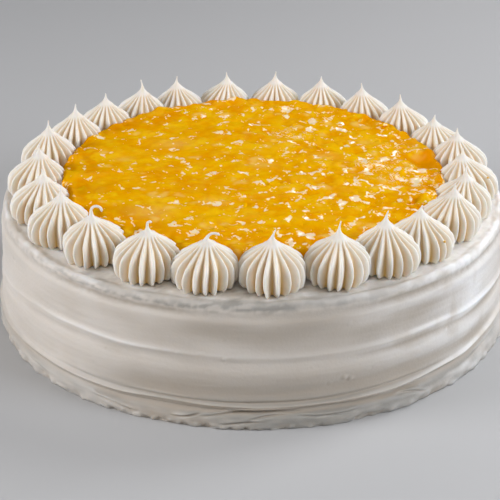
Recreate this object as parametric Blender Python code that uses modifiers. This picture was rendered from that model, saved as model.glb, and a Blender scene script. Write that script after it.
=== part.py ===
"""A round pineapple cake: a frosted body, a ring of piped stars and a heap of crushed pineapple.

Metres, +Z up. The origin is the middle of the flat underside. Bearings are in degrees round +Z:
0 is the front (-Y), 90 is the right (+X) and 180 is the back. Sizes are in millimetres.
"""

import math
import random
from dataclasses import dataclass

import bmesh
import bpy
from mathutils import Vector, noise

MM = 0.001
GAP = 0.3

# Frosted body
CAKE_TOP = 53.8
RIM_HEIGHT = 54.4
RIM_RADIUS = 111.8
WALL_RADIUS = 115.0
BASE_RADIUS = 118.0
MID_RIDGE = 32.0
LOW_RIDGE = 10.3
RIDGE_PROUD = 0.9
TURN_STEPS = 72
TROWEL_WOBBLE = 0.35
SKIRT_WOBBLE = 0.8
RIDGE_DRIFT = 1.3

# Ring of piped stars
STARS = 25
RING_RADIUS = 96.9
FIRST_BEARING = 188.4
STAR_RADIUS = 13.2
FRONT_SWELL = 0.4
NECK_HEIGHT = 17.8
TIP_LENGTH = 5.7
RIDGES = 18
NECK_POINTS = 12
TIP_END = 0.03
TIP_TAPER = 2.6

# Crushed pineapple
HEAP_RADIUS = 86.5
HEAP_TOP = 65.0
HEAP_CROWN = 0.2
HEAP_SHOULDER = 63.6
SHOULDER_WIDTH = 2.5
HEAP_RINGS = 17
LUMP_HEIGHT = 1.1
LUMP_SHIFT = 0.8
HEAP_CLEARANCE = 0.7

# Finishes: colour and roughness
FROSTING = ((0.80, 0.77, 0.72), 0.55)
PIPED_CREAM = ((0.86, 0.80, 0.70), 0.5)
PINEAPPLE = ((0.87, 0.46, 0.01), 0.18)

# How the stars stray from even spacing: waves round the ring, (waves, degrees, phase in degrees).
SPACING_WAVES = ((1, 2.17, 173.5), (2, 1.68, 17.7), (3, 0.62, 300.8), (4, 0.9, 45.7))

# A star's outline: share of the neck height, share of the radius, depth of the furrows.
STAR_SECTIONS = ((0.0, 0.87, 0.24), (0.28, 1.0, 0.25), (0.58, 0.93, 0.24), (0.80, 0.53, 0.15))
NECK_SHARE = 0.24


@dataclass
class Tip:
    """The thin tail that a star ends in: its length, and how it bends over towards a bearing."""

    length: float = TIP_LENGTH
    sweep: float = 0.0
    bend_from: float = 0.3
    heading: float = 90.0
    sections: int = 2


@dataclass
class Nudge:
    """How one star differs from the even ring: its place, and where its tip stands over its foot."""

    outward: float = 0.0
    along: float = 0.0
    lean: float = 0.0
    taller: float = 0.0


@dataclass
class Star:
    """One piped star: its place on the ring, its size, its lean and its tip."""

    number: int
    bearing: float
    ring_radius: float
    radius: float
    neck_height: float
    lean: Vector
    ridge_turn: float
    tip: Tip

    @property
    def foot(self):
        """The middle of the star's underside."""
        x, y = on_circle(self.ring_radius, self.bearing)
        return Vector((x, y, CAKE_TOP + GAP))


# The tips that curl over or lean more than the others, by star number.
CURLED_TIPS = {
    10: Tip(length=9.6, sweep=205.0, bend_from=0.12, sections=8),
    11: Tip(length=6.5, sweep=150.0, bend_from=0.6, sections=6),
    12: Tip(length=7.4, sweep=120.0, bend_from=0.12, sections=7),
    13: Tip(length=6.6, sweep=35.0, bend_from=0.2, sections=4),
    14: Tip(length=7.2, sweep=15.0, bend_from=0.3, sections=3),
}


# Stars that stand or lean off the even ring: millimetres outward, degrees along the ring, and
# millimetres that the tip leans to the right and is taller by.
NUDGES = {
    1: Nudge(along=0.6, lean=1.9),
    2: Nudge(lean=-1.5),
    3: Nudge(lean=1.4, taller=1.0),
    5: Nudge(lean=0.8),
    6: Nudge(outward=1.2, lean=0.4, taller=1.2),
    7: Nudge(outward=1.8, lean=2.1, taller=-1.0),
    8: Nudge(outward=1.8, lean=1.9),
    9: Nudge(outward=1.8, lean=1.2),
    10: Nudge(lean=-1.4, taller=-0.6),
    11: Nudge(along=1.0, lean=0.6),
    12: Nudge(along=0.3, lean=0.8, taller=-1.0),
    15: Nudge(along=-0.5, lean=-0.9, taller=0.8),
    16: Nudge(along=-1.5, lean=-0.9, taller=-0.9),
    17: Nudge(outward=-0.8, lean=1.8),
    18: Nudge(outward=-1.4, lean=1.3, taller=-1.2),
    19: Nudge(outward=1.6, lean=-4.0, taller=-2.0),
    20: Nudge(outward=1.1, lean=-1.8),
    21: Nudge(lean=-1.6, taller=-2.0),
    22: Nudge(along=1.0, lean=-2.4),
    23: Nudge(along=1.6, lean=-1.9),
    24: Nudge(along=0.6, lean=-1.1),
    25: Nudge(taller=0.8),
}


def on_circle(radius, bearing):
    """X and Y of a point at a radius and a bearing from the middle of the cake."""
    angle = math.radians(bearing)
    return radius * math.sin(angle), -radius * math.cos(angle)


def new_object(name, mesh, look, collection):
    """Link a mesh as a named object with a finish of its own."""
    colour, roughness = look
    finish = bpy.data.materials.new(f"{name}_finish")
    finish.use_nodes = True
    shader = finish.node_tree.nodes["Principled BSDF"]
    shader.inputs["Base Color"].default_value = (*colour, 1.0)
    shader.inputs["Roughness"].default_value = roughness
    shader.inputs["Metallic"].default_value = 0.0
    mesh.materials.clear()
    mesh.materials.append(finish)
    mesh.shade_smooth()
    mesh.set_sharp_from_angle(angle=math.radians(40.0))
    collection.objects.link(bpy.data.objects.new(name, mesh))


def mesh_from(name, builder):
    """Turn a filled bmesh into a mesh in metres with its faces pointing out."""
    bmesh.ops.recalc_face_normals(builder, faces=builder.faces)
    bmesh.ops.scale(builder, vec=(MM, MM, MM), verts=builder.verts)
    mesh = bpy.data.meshes.new(name)
    builder.to_mesh(mesh)
    builder.free()
    return mesh


def cake_outline():
    """Half outline of the body, from the middle of the top, down the side, to the base's middle."""
    return [
        (0.0, CAKE_TOP),
        (RIM_RADIUS - 1.0, CAKE_TOP),
        (RIM_RADIUS, RIM_HEIGHT),
        (RIM_RADIUS + 2.2, RIM_HEIGHT - 2.6),
        (WALL_RADIUS - 1.2, RIM_HEIGHT - 5.3),
        (WALL_RADIUS - 0.6, RIM_HEIGHT - 8.3),
        (WALL_RADIUS, MID_RIDGE + 2.4),
        (WALL_RADIUS + RIDGE_PROUD, MID_RIDGE),
        (WALL_RADIUS, MID_RIDGE - 3.2),
        (WALL_RADIUS + 0.9, MID_RIDGE - 7.0),
        (WALL_RADIUS + 1.4, LOW_RIDGE + 2.6),
        (BASE_RADIUS - 0.6, LOW_RIDGE),
        (BASE_RADIUS - 1.6, LOW_RIDGE - 2.5),
        (BASE_RADIUS, 3.6),
        (BASE_RADIUS - 0.7, 0.0),
        (0.0, 0.0),
    ]


def wobble(x, y, z, pitch, seed):
    """Smooth unevenness between -1 and 1 that repeats over about one pitch in millimetres."""
    return noise.noise(Vector((x, y, z)) / pitch + Vector((seed, 0.0, 0.0)))


def spread_unevenly(builder):
    """Move the side in and out, and its ridges up and down, as a palette knife leaves them."""
    for vertex in builder.verts:
        x, y, z = vertex.co
        radius = math.hypot(x, y)
        if radius < RIM_RADIUS - 1.0:
            continue
        reach = TROWEL_WOBBLE * wobble(x, y, z, 34.0, 3.0)
        if z < LOW_RIDGE:
            reach = SKIRT_WOBBLE * wobble(x, y, z, 17.0, 8.0) * min(1.0, abs(z - LOW_RIDGE) / 5.0)
        vertex.co.x = x * (radius + reach) / radius
        vertex.co.y = y * (radius + reach) / radius
        if LOW_RIDGE - 3.0 < z < RIM_HEIGHT - 4.0:
            vertex.co.z = z + RIDGE_DRIFT * wobble(x, y, 0.0, 90.0, 5.0)


def build_cake(collection):
    """The frosted body: a turned outline with the unevenness of spread frosting."""
    points = [Vector((radius * MM, 0.0, height * MM)) for radius, height in cake_outline()]
    outline = bpy.data.meshes.new("cake_outline")
    outline.from_pydata(points, [(i, i + 1) for i in range(len(points) - 1)], [])
    turned = bpy.data.objects.new("cake_outline", outline)
    collection.objects.link(turned)
    screw = turned.modifiers.new("turn", "SCREW")
    screw.steps = TURN_STEPS
    screw.render_steps = TURN_STEPS
    screw.use_merge_vertices = True
    screw.merge_threshold = 0.00001
    evaluated = turned.evaluated_get(bpy.context.evaluated_depsgraph_get())
    builder = bmesh.new()
    builder.from_mesh(evaluated.to_mesh())
    evaluated.to_mesh_clear()
    bpy.data.objects.remove(turned)
    bpy.data.meshes.remove(outline)
    bmesh.ops.scale(builder, vec=(1.0 / MM, 1.0 / MM, 1.0 / MM), verts=builder.verts)
    spread_unevenly(builder)
    bmesh.ops.triangulate(builder, faces=builder.faces)
    new_object("frosted_cake", mesh_from("frosted_cake", builder), FROSTING, collection)


def star_bearing(index):
    """Bearing of a star: even spacing, and the waves by which a hand-piped ring strays from it."""
    turn = 360.0 * index / STARS
    bearing = FIRST_BEARING + turn
    for waves, size, phase in SPACING_WAVES:
        bearing += size * math.cos(math.radians(waves * turn - phase))
    return bearing


def ring_of_stars():
    """Place the stars round the ring, each a little different, with the tips named above."""
    draw = random.Random(11)
    stars = []
    for number in range(1, STARS + 1):
        nudge = NUDGES.get(number, Nudge())
        bearing = star_bearing(number - 1) + nudge.along
        swell = FRONT_SWELL * math.cos(math.radians(bearing))
        tip = Tip(
            length=TIP_LENGTH + draw.uniform(-0.8, 0.8),
            sweep=draw.uniform(0.0, 25.0),
            heading=draw.uniform(0.0, 360.0),
        )
        star = Star(
            number=number,
            bearing=bearing,
            ring_radius=RING_RADIUS + nudge.outward,
            radius=STAR_RADIUS + swell + draw.uniform(-0.15, 0.15),
            neck_height=NECK_HEIGHT + draw.uniform(-0.6, 0.6) + 0.5 * nudge.taller,
            lean=Vector((draw.uniform(-0.8, 0.8), draw.uniform(-0.6, 0.6), 0.0)),
            ridge_turn=draw.uniform(0.0, 360.0 / RIDGES),
            tip=CURLED_TIPS.get(number, tip),
        )
        star.tip.length += 0.5 * nudge.taller
        if number in NUDGES:
            star.lean.x = nudge.lean
        stars.append(star)
    return stars


def body_ring(star, height_share, radius_share, depth, draw):
    """One level ring of a star: a crest and a furrow for each ridge."""
    leaned = star.lean * height_share * height_share
    middle = star.foot + leaned + Vector((0.0, 0.0, star.neck_height * height_share))
    ring = []
    for point in range(2 * RIDGES):
        crest = point % 2 == 0
        reach = star.radius * radius_share
        reach *= 1.0 + draw.uniform(-0.02, 0.02) if crest else 1.0 - depth
        x, y = on_circle(reach, star.ridge_turn + 180.0 * point / RIDGES)
        ring.append(middle + Vector((x, y, 0.0)))
    return ring


def tip_rings(star):
    """Rings along the tip, which bends over towards its heading, and the point it ends in."""
    tip = star.tip
    heading = Vector((*on_circle(1.0, tip.heading), 0.0))
    side = heading.cross(Vector((0.0, 0.0, 1.0)))
    taper = TIP_TAPER * tip.length / TIP_LENGTH
    middle = star.foot + star.lean + Vector((0.0, 0.0, star.neck_height))
    rings = []
    for section in range(tip.sections):
        share = section / tip.sections
        bend = tip.sweep * max(0.0, share - tip.bend_from) / (1.0 - tip.bend_from)
        angle = math.radians(bend)
        along = Vector((0.0, 0.0, math.cos(angle))) + heading * math.sin(angle)
        across = along.cross(side)
        reach = star.radius * (TIP_END + (NECK_SHARE - TIP_END) * (1.0 - share) ** taper)
        ring = []
        for point in range(NECK_POINTS):
            turn = math.radians(star.ridge_turn + 360.0 * point / NECK_POINTS)
            facing = Vector((math.sin(turn), -math.cos(turn), 0.0))
            offset = across * facing.dot(heading) + side * facing.dot(side)
            ring.append(middle + offset * reach)
        rings.append(ring)
        middle = middle + along * tip.length / tip.sections
    return rings, middle


def keep_apart(vertex, star, neighbours):
    """Push a point back from the upright planes half way to the next stars, as pressed cream is."""
    for neighbour in neighbours:
        between = neighbour.foot - star.foot
        limit = between.length / 2.0 - GAP / 2.0
        towards = between.normalized()
        excess = (vertex.co - star.foot).dot(towards) - limit
        if excess > 0.0:
            vertex.co -= towards * excess


def skin(builder, lower, upper):
    """Join two rings of points by triangles; the lower has a whole number of points to each upper."""
    per_point = len(lower) // len(upper)
    for index, here in enumerate(upper):
        ahead = upper[(index + 1) % len(upper)]
        first = index * per_point
        for step in range(per_point):
            near = lower[(first + step) % len(lower)]
            far = lower[(first + step + 1) % len(lower)]
            builder.faces.new((near, far, here))
        builder.faces.new((far, ahead, here))


def build_star(star, neighbours, collection):
    """One piped star: ridged rings up to the neck, then the smooth tip."""
    draw = random.Random(100 + star.number)
    builder = bmesh.new()
    rings = []
    for section in STAR_SECTIONS:
        rings.append([builder.verts.new(point) for point in body_ring(star, *section, draw)])
    tip, end = tip_rings(star)
    rings.extend([builder.verts.new(point) for point in ring] for ring in tip)
    underside = builder.verts.new(star.foot)
    apex = builder.verts.new(end)
    for lower, upper in zip(rings, rings[1:]):
        skin(builder, lower, upper)
    for ring, pole in ((rings[0], underside), (rings[-1], apex)):
        for index, point in enumerate(ring):
            builder.faces.new((point, ring[(index + 1) % len(ring)], pole))
    for vertex in builder.verts:
        keep_apart(vertex, star, neighbours)
    name = f"piped_star_{star.number:02d}"
    new_object(name, mesh_from(name, builder), PIPED_CREAM, collection)


def heap_edge(bearing, stars):
    """How far the heap reaches at a bearing: to its own edge, or just short of a star."""
    edge = HEAP_RADIUS
    for star in stars:
        turn = math.radians(bearing - star.bearing)
        ahead = star.ring_radius * math.cos(turn)
        aside = star.ring_radius * math.sin(turn)
        reach = star.radius * 1.02 + HEAP_CLEARANCE
        if ahead > 0.0 and abs(aside) < reach:
            edge = min(edge, ahead - math.sqrt(reach * reach - aside * aside))
    return edge


def heap_point(ring, step, stars, draw):
    """A point of the heap's top: piece-sized lumps on a level layer with a steep rounded shoulder."""
    bearing = 360.0 * step / (6 * ring)
    edge = heap_edge(bearing, stars)
    radius = edge * ring / HEAP_RINGS
    crown = HEAP_TOP + HEAP_CROWN * (1.0 - (radius / HEAP_RADIUS) ** 2)
    inward = min(1.0, (edge - radius) / SHOULDER_WIDTH)
    height = HEAP_SHOULDER + (crown - HEAP_SHOULDER) * math.sin(inward * math.pi / 2.0)
    height += draw.uniform(-LUMP_HEIGHT, LUMP_HEIGHT)
    x, y = on_circle(radius, bearing)
    if ring < HEAP_RINGS:
        x += draw.uniform(-LUMP_SHIFT, LUMP_SHIFT)
        y += draw.uniform(-LUMP_SHIFT, LUMP_SHIFT)
    return Vector((x, y, height))


def build_heap(stars, collection):
    """The crushed pineapple: one lumpy heap whose scalloped edge runs between the stars."""
    draw = random.Random(7)
    builder = bmesh.new()
    middle = builder.verts.new((0.0, 0.0, HEAP_TOP + HEAP_CROWN))
    inner = [middle]
    for ring in range(1, HEAP_RINGS + 1):
        outer = [builder.verts.new(heap_point(ring, step, stars, draw)) for step in range(6 * ring)]
        for sector in range(6):
            for step in range(ring):
                near = outer[sector * ring + step]
                far = outer[(sector * ring + step + 1) % len(outer)]
                here = inner[(sector * (ring - 1) + step) % len(inner)]
                builder.faces.new((near, far, here))
                if step < ring - 1:
                    ahead = inner[(sector * (ring - 1) + step + 1) % len(inner)]
                    builder.faces.new((far, ahead, here))
        inner = outer
    foot = [builder.verts.new((p.co.x * 0.995, p.co.y * 0.995, CAKE_TOP + GAP)) for p in inner]
    underside = builder.verts.new((0.0, 0.0, CAKE_TOP + GAP))
    skin(builder, foot, inner)
    for index, point in enumerate(foot):
        builder.faces.new((point, foot[(index + 1) % len(foot)], underside))
    new_object("pineapple_topping", mesh_from("pineapple_topping", builder), PINEAPPLE, collection)


def main():
    """Clear the scene, then build the body, the ring of stars and the heap inside it."""
    for thing in list(bpy.data.objects):
        bpy.data.objects.remove(thing)
    collection = bpy.data.collections.new("pineapple_cake")
    bpy.context.scene.collection.children.link(collection)
    build_cake(collection)
    stars = ring_of_stars()
    for index, star in enumerate(stars):
        neighbours = (stars[index - 1], stars[(index + 1) % STARS])
        build_star(star, neighbours, collection)
    build_heap(stars, collection)


main()
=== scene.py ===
"""The looks of a round pineapple cake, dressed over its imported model.

Three sub-assemblies are made here: the frosted body, the ring of piped stars, and the crushed
pineapple inside the ring. Their classes hold sizes in millimetres, and meshes are in metres.
Bearings are in degrees round +Z: 0 is the front (-Y), 90 the right (+X) and 180 the back.
"""

from __future__ import annotations

import logging
import math
import random
from dataclasses import dataclass, field, replace
from enum import Enum
from functools import cached_property

import bpy
import numpy as np
from mathutils import Matrix, Vector

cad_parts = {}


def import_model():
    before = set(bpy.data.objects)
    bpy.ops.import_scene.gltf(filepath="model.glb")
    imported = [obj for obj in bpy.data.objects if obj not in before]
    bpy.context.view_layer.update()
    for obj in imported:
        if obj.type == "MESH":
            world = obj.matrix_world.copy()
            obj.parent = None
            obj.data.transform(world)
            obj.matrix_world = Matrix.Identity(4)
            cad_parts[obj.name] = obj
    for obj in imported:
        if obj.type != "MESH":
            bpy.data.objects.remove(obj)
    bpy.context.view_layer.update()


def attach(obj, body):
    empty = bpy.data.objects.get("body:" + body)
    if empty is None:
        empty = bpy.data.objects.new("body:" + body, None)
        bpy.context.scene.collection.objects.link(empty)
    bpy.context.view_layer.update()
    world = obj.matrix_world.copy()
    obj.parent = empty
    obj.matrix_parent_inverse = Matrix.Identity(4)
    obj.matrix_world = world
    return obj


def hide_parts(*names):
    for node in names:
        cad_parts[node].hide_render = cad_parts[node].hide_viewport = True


LOG = logging.getLogger("pineapple_cake")
MM = 0.001
BODY = "root"
UP = np.array((0.0, 0.0, 1.0))
HASH_AXES = np.array((73856093, 19349663, 83492791))
HASH_SEED = 2654435761
HASH_ROUNDS = ((13, 1274126177), (16, 2246822519))
HASH_MASK = 0xFFFFFFFF
RGB = tuple[float, float, float]
Wave = tuple[float, float | tuple[float, float, float], int]
Feed = bpy.types.NodeSocket | float | tuple


class Slot(Enum):
    """The record's material slots."""

    FROSTING = "frosting"
    PIPED_CREAM = "piped_cream"
    PINEAPPLE = "pineapple"


# Curves and noise


def ease(values: np.ndarray | float) -> np.ndarray:
    """A smooth step from 0 to 1."""
    held = np.clip(values, 0.0, 1.0)
    return held * held * (3.0 - 2.0 * held)


def hump(values: np.ndarray, centre: np.ndarray | float, width: float) -> np.ndarray:
    """A bell of height 1 round a centre."""
    return np.exp(-(((values - centre) / width) ** 2))


def mound(x: np.ndarray, y: np.ndarray, centre: tuple, wide: float, deep: float) -> np.ndarray:
    """A bell of height 1 over a place, with its widths along X and Y."""
    return np.exp(-(((x - centre[0]) / wide) ** 2) - ((y - centre[1]) / deep) ** 2)


@dataclass(frozen=True)
class Curve:
    """A smooth curve that never overshoots its knots, given as value by place in rising order."""

    knots: dict[float, float]

    def at(self, where: np.ndarray | float) -> np.ndarray:
        """The curve's value at places.

        Args:
            where: the places; beyond the last knots, their values hold.

        Returns:
            One value for each place.
        """
        x, y = (np.array(list(part), float) for part in (self.knots.keys(), self.knots.values()))
        step = np.diff(x)
        slope = np.diff(y) / step
        same_way = slope[:-1] * slope[1:] > 0.0
        safe = np.where(same_way, slope[:-1] + slope[1:], 1.0)
        inner = np.where(same_way, 2.0 * slope[:-1] * slope[1:] / safe, 0.0)
        tangent = np.concatenate([slope[:1], inner, slope[-1:]])
        held = np.clip(where, x[0], x[-1])
        index = np.clip(np.searchsorted(x, held, side="right") - 1, 0, len(step) - 1)
        run = step[index]
        share = (held - x[index]) / run
        start = y[index] * (1.0 + 2.0 * share) * (1.0 - share) ** 2
        leave = tangent[index] * run * share * (1.0 - share) ** 2
        arrive = tangent[index + 1] * run * share**2 * (share - 1.0)
        end = y[index + 1] * share**2 * (3.0 - 2.0 * share)
        return start + leave + arrive + end

    def around(self, bearings: np.ndarray) -> np.ndarray:
        """The value at bearings of a curve whose knots run once round, from -180 to 180."""
        laps = {knot + lap: value for lap in (-360, 0, 360) for knot, value in self.knots.items()}
        return Curve(dict(sorted(laps.items()))).at((bearings + 180.0) % 360.0 - 180.0)


def gradient_noise(places: np.ndarray, pitch: float | tuple, seed: int) -> np.ndarray:
    """Smooth unevenness of about -1 to 1.

    Args:
        places: points in millimetres, with x, y and z on the last axis.
        pitch: the distance over which it changes, or one for each axis.
        seed: picks one of many patterns.

    Returns:
        One value for each point.
    """
    scaled = places / np.asarray(pitch, float)
    cell = np.floor(scaled).astype(np.int64)
    local = scaled - cell
    fade = local**3 * (local * (local * 6.0 - 15.0) + 10.0)
    total = np.zeros(places.shape[:-1])
    for corner in np.ndindex(2, 2, 2):
        offset = np.array(corner)
        key = (cell + offset) @ HASH_AXES + seed * HASH_SEED
        for shift, factor in HASH_ROUNDS:
            key = ((key ^ (key >> shift)) * factor) & HASH_MASK
        key = key ^ (key >> 15)
        gradient = np.stack([(key >> bits) & 1023 for bits in (0, 10, 20)], axis=-1) / 511.5 - 1.0
        reach = ((local - offset) * gradient).sum(axis=-1)
        total += reach * np.where(offset == 1, fade, 1.0 - fade).prod(axis=-1)
    return total * 1.5


def waves(places: np.ndarray, *patterns: Wave) -> np.ndarray:
    """Patterns of unevenness added up, each given by its height, pitch and seed."""
    return sum(height * gradient_noise(places, pitch, seed) for height, pitch, seed in patterns)


def on_circle(radius: np.ndarray | float, bearing: np.ndarray | float) -> tuple:
    """X and Y of points at a radius and a bearing from the middle of the cake."""
    angle = np.radians(bearing)
    return radius * np.sin(angle), -radius * np.cos(angle)


def spots(x: np.ndarray, y: np.ndarray, z: np.ndarray | float = 0.0) -> np.ndarray:
    """Points with x, y and z on the last axis."""
    return np.stack(np.broadcast_arrays(x, y, z), axis=-1)


# Meshes


def add_object(name: str, data: bpy.types.ID) -> bpy.types.Object:
    """Put a mesh, a light or a camera into the scene.

    Args:
        name: the object's name.
        data: the mesh, light or camera.

    Returns:
        The object.
    """
    made = bpy.data.objects.new(name, data)
    bpy.context.scene.collection.objects.link(made)
    return made


@dataclass
class Form:
    """A mesh in the making: points in millimetres, faces, and marks that its finish reads."""

    points: np.ndarray
    faces: list
    marks: dict[str, np.ndarray]

    def place(self, name: str, finish: bpy.types.Material, slot: Slot, *nodes: str) -> None:
        """Make the form a visible piece of the cake.

        Args:
            name: the piece's name.
            finish: its material.
            slot: the record's slot that the finish belongs to.
            nodes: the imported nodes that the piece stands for.
        """
        mesh = bpy.data.meshes.new(name)
        mesh.from_pydata((self.points * MM).tolist(), [], self.faces)
        for mark, values in self.marks.items():
            data = mesh.attributes.new(mark, "FLOAT", "POINT").data
            data.foreach_set("value", values.astype(np.float32))
        mesh.shade_smooth()
        mesh.materials.append(finish)
        piece = add_object(name, mesh)
        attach(piece, BODY)
        if nodes:
            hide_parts(*nodes)
        triangles = sum(len(face.vertices) - 2 for face in mesh.polygons)
        LOG.info("%s: %d triangles, %s", name, triangles, slot.value)


def loft(rings: np.ndarray, ends: tuple, marks: dict[str, np.ndarray]) -> Form:
    """Skin rings of points and close both ends on a middle point.

    Args:
        rings: points of shape (rings, points round, 3), from the low end up.
        ends: the middle points of the low and the high end.
        marks: values of shape (rings, points round); the middles take their ring's first.

    Returns:
        A closed form.
    """
    count, around = rings.shape[:2]
    here = np.arange(count * around).reshape(count, around)
    ahead = np.roll(here, -1, axis=1)
    low, high = np.full(around, here.size), np.full(around, here.size + 1)
    sides = np.stack([here[:-1], ahead[:-1], ahead[1:], here[1:]], axis=-1).reshape(-1, 4)
    caps = np.stack([ahead[0], here[0], low, here[-1], ahead[-1], high], axis=-1).reshape(-1, 3)
    closed = {
        mark: np.append(values, (values[0, 0], values[-1, 0])) for mark, values in marks.items()
    }
    points = np.concatenate([rings.reshape(-1, 3), np.array(ends, float)])
    return Form(points, sides.tolist() + caps.tolist(), closed)


def rounded_block(cuts: int) -> tuple[np.ndarray, np.ndarray]:
    """A block with swollen sides and soft corners, about one unit from its middle to each side.

    Args:
        cuts: cells along each edge of each side.

    Returns:
        Its points and its four-sided faces.
    """
    line = np.linspace(-1.0, 1.0, cuts + 1)
    found: dict[tuple, int] = {}
    faces = []
    for axis, front, row, column in np.ndindex(3, 2, cuts, cuts):
        corners = [(row, column), (row + 1, column), (row + 1, column + 1), (row, column + 1)]
        face = []
        for first, second in corners if front else corners[::-1]:
            spot = np.roll((1.0 if front else -1.0, line[first], line[second]), axis)
            face.append(found.setdefault(tuple(np.round(spot, 6).tolist()), len(found)))
        faces.append(face)
    points = np.array(list(found))
    ball = points / np.linalg.norm(points, axis=1, keepdims=True)
    return 0.42 * points + 0.50 * ball, np.array(faces)


def joined(blocks: list[np.ndarray], faces: np.ndarray, marks: dict[str, list | float]) -> Form:
    """Join blocks that share their list of faces.

    Args:
        blocks: the points of each block.
        faces: the faces of one block.
        marks: by name, one value for each block or one for all.

    Returns:
        One form.
    """
    size = len(blocks[0])
    every = np.concatenate([faces + number * size for number in range(len(blocks))])
    spread = {
        mark: np.repeat(np.broadcast_to(values, len(blocks)), size)
        for mark, values in marks.items()
    }
    return Form(np.concatenate(blocks), every.tolist(), spread)


# Finishes


class NodeSketch:
    """Adds nodes to one tree and joins them."""

    def __init__(self, tree: bpy.types.NodeTree) -> None:
        """Start on a tree."""
        self.tree = tree

    def add(self, kind: str, inputs: dict | None = None, **settings: object) -> bpy.types.Node:
        """Add a node.

        Args:
            kind: the node's type without the ShaderNode prefix.
            inputs: values or output sockets, by socket name or number.
            settings: the node's own properties.

        Returns:
            The node.
        """
        node = self.tree.nodes.new(f"ShaderNode{kind}")
        for name, value in settings.items():
            setattr(node, name, value)
        self.feed(node, inputs or {})
        return node

    def feed(self, node: bpy.types.Node, inputs: dict) -> None:
        """Set or join a node's sockets.

        Args:
            node: the node.
            inputs: values or output sockets, by socket name or number.
        """
        for name, value in inputs.items():
            if isinstance(value, bpy.types.NodeSocket):
                self.tree.links.new(value, node.inputs[name])
            else:
                node.inputs[name].default_value = value

    def mix(self, share: Feed, first: Feed, second: Feed, blend: str = "MIX") -> Feed:
        """Mix two colours."""
        inputs = {0: share, 6: first, 7: second}
        return self.add("Mix", inputs, data_type="RGBA", blend_type=blend).outputs[2]

    def band(self, value: Feed, low: float, high: float) -> Feed:
        """Spread a value from 0 at low to 1 at high."""
        inputs = {"Value": value, "From Min": low, "From Max": high}
        return self.add("MapRange", inputs, interpolation_type="SMOOTHSTEP").outputs["Result"]

    def maths(self, operation: str, first: Feed, second: Feed = 0.0) -> Feed:
        """A sum, product or the like of two values."""
        return self.add("Math", {0: first, 1: second}, operation=operation).outputs[0]

    def plus(self, first: Feed, second: Feed) -> Feed:
        """Two values added up."""
        return self.maths("ADD", first, second)

    def less(self, first: Feed, second: Feed) -> Feed:
        """The first value without the second."""
        return self.maths("SUBTRACT", first, second)

    def times(self, first: Feed, second: Feed) -> Feed:
        """Two values multiplied."""
        return self.maths("MULTIPLY", first, second)

    def cloud(self, place: Feed, scale: Feed, detail: float, warp: float, **more: float) -> Feed:
        """A cloudy pattern of 0 to 1, with more of the noise node's inputs by name."""
        inputs = {"Vector": place, "Scale": scale, "Detail": detail, "Distortion": warp, **more}
        return self.add("TexNoise", inputs).outputs["Fac"]

    def mark(self, name: str) -> Feed:
        """A named value of the mesh's points."""
        return self.add("Attribute", attribute_name=name).outputs["Fac"]


class GroupSketch(NodeSketch):
    """Adds nodes to a new shader node group."""

    def __init__(self, name: str, colours: tuple, values: tuple, outputs: tuple) -> None:
        """Start the group.

        Args:
            name: its name.
            colours: the names of its colour inputs.
            values: the names of its value inputs.
            outputs: the names of its value outputs, beside the one colour.
        """
        super().__init__(bpy.data.node_groups.new(name, "ShaderNodeTree"))
        sockets = [(colour, "INPUT", "Color") for colour in colours]
        sockets += [(value, "INPUT", "Float") for value in values]
        sockets += [("Color", "OUTPUT", "Color"), *((out, "OUTPUT", "Float") for out in outputs)]
        for socket, side, kind in sockets:
            kind = f"NodeSocket{kind}"
            self.tree.interface.new_socket(socket, in_out=side, socket_type=kind)
        self.given = self.tree.nodes.new("NodeGroupInput").outputs
        self.result = self.tree.nodes.new("NodeGroupOutput")
        self.place = self.add("TexCoord").outputs["Object"]


def opaque(colour: RGB) -> tuple[float, float, float, float]:
    """A colour with full alpha."""
    return (*colour, 1.0)


def cream_group() -> bpy.types.NodeTree:
    """Whipped cream: soft mottle, whiter smears, painted shade and painted light, and airy grain.
    """
    values = ("Furrow", "Smear_And_Painted_Light", "Shadowed", "Mottle Scale", "Grain Scale")
    sketch = GroupSketch("whipped_cream", ("Cream", "Furrow Shade"), values, ("Height",))
    given, mix = sketch.given, sketch.mix
    mottle = sketch.band(sketch.cloud(sketch.place, given["Mottle Scale"], 3.0, 0.0), 0.35, 0.75)
    shaded = mix(mottle, opaque((1.0, 1.0, 1.0)), opaque((0.965, 0.955, 0.94)))
    # Whiter smears, with painted light on the ledge, the rim, the right of the side and the upper
    # ridge.
    smear_and_painted_light = mix(given["Smear_And_Painted_Light"], given["Cream"], opaque((0.905, 0.90, 0.89)))
    # Painted shade, in a grey colour.
    painted_shade = mix(given["Shadowed"], smear_and_painted_light, opaque((0.348, 0.332, 0.302)))
    # Painted shade in furrows and creases, in a warm colour.
    toned = mix(given["Furrow"], painted_shade, given["Furrow Shade"])
    sketch.feed(sketch.result, {
        "Color": mix(1.0, toned, shaded, blend="MULTIPLY"),
        "Height": sketch.cloud(sketch.place, given["Grain Scale"], 4.0, 0.0),
    })
    return sketch.tree


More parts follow.
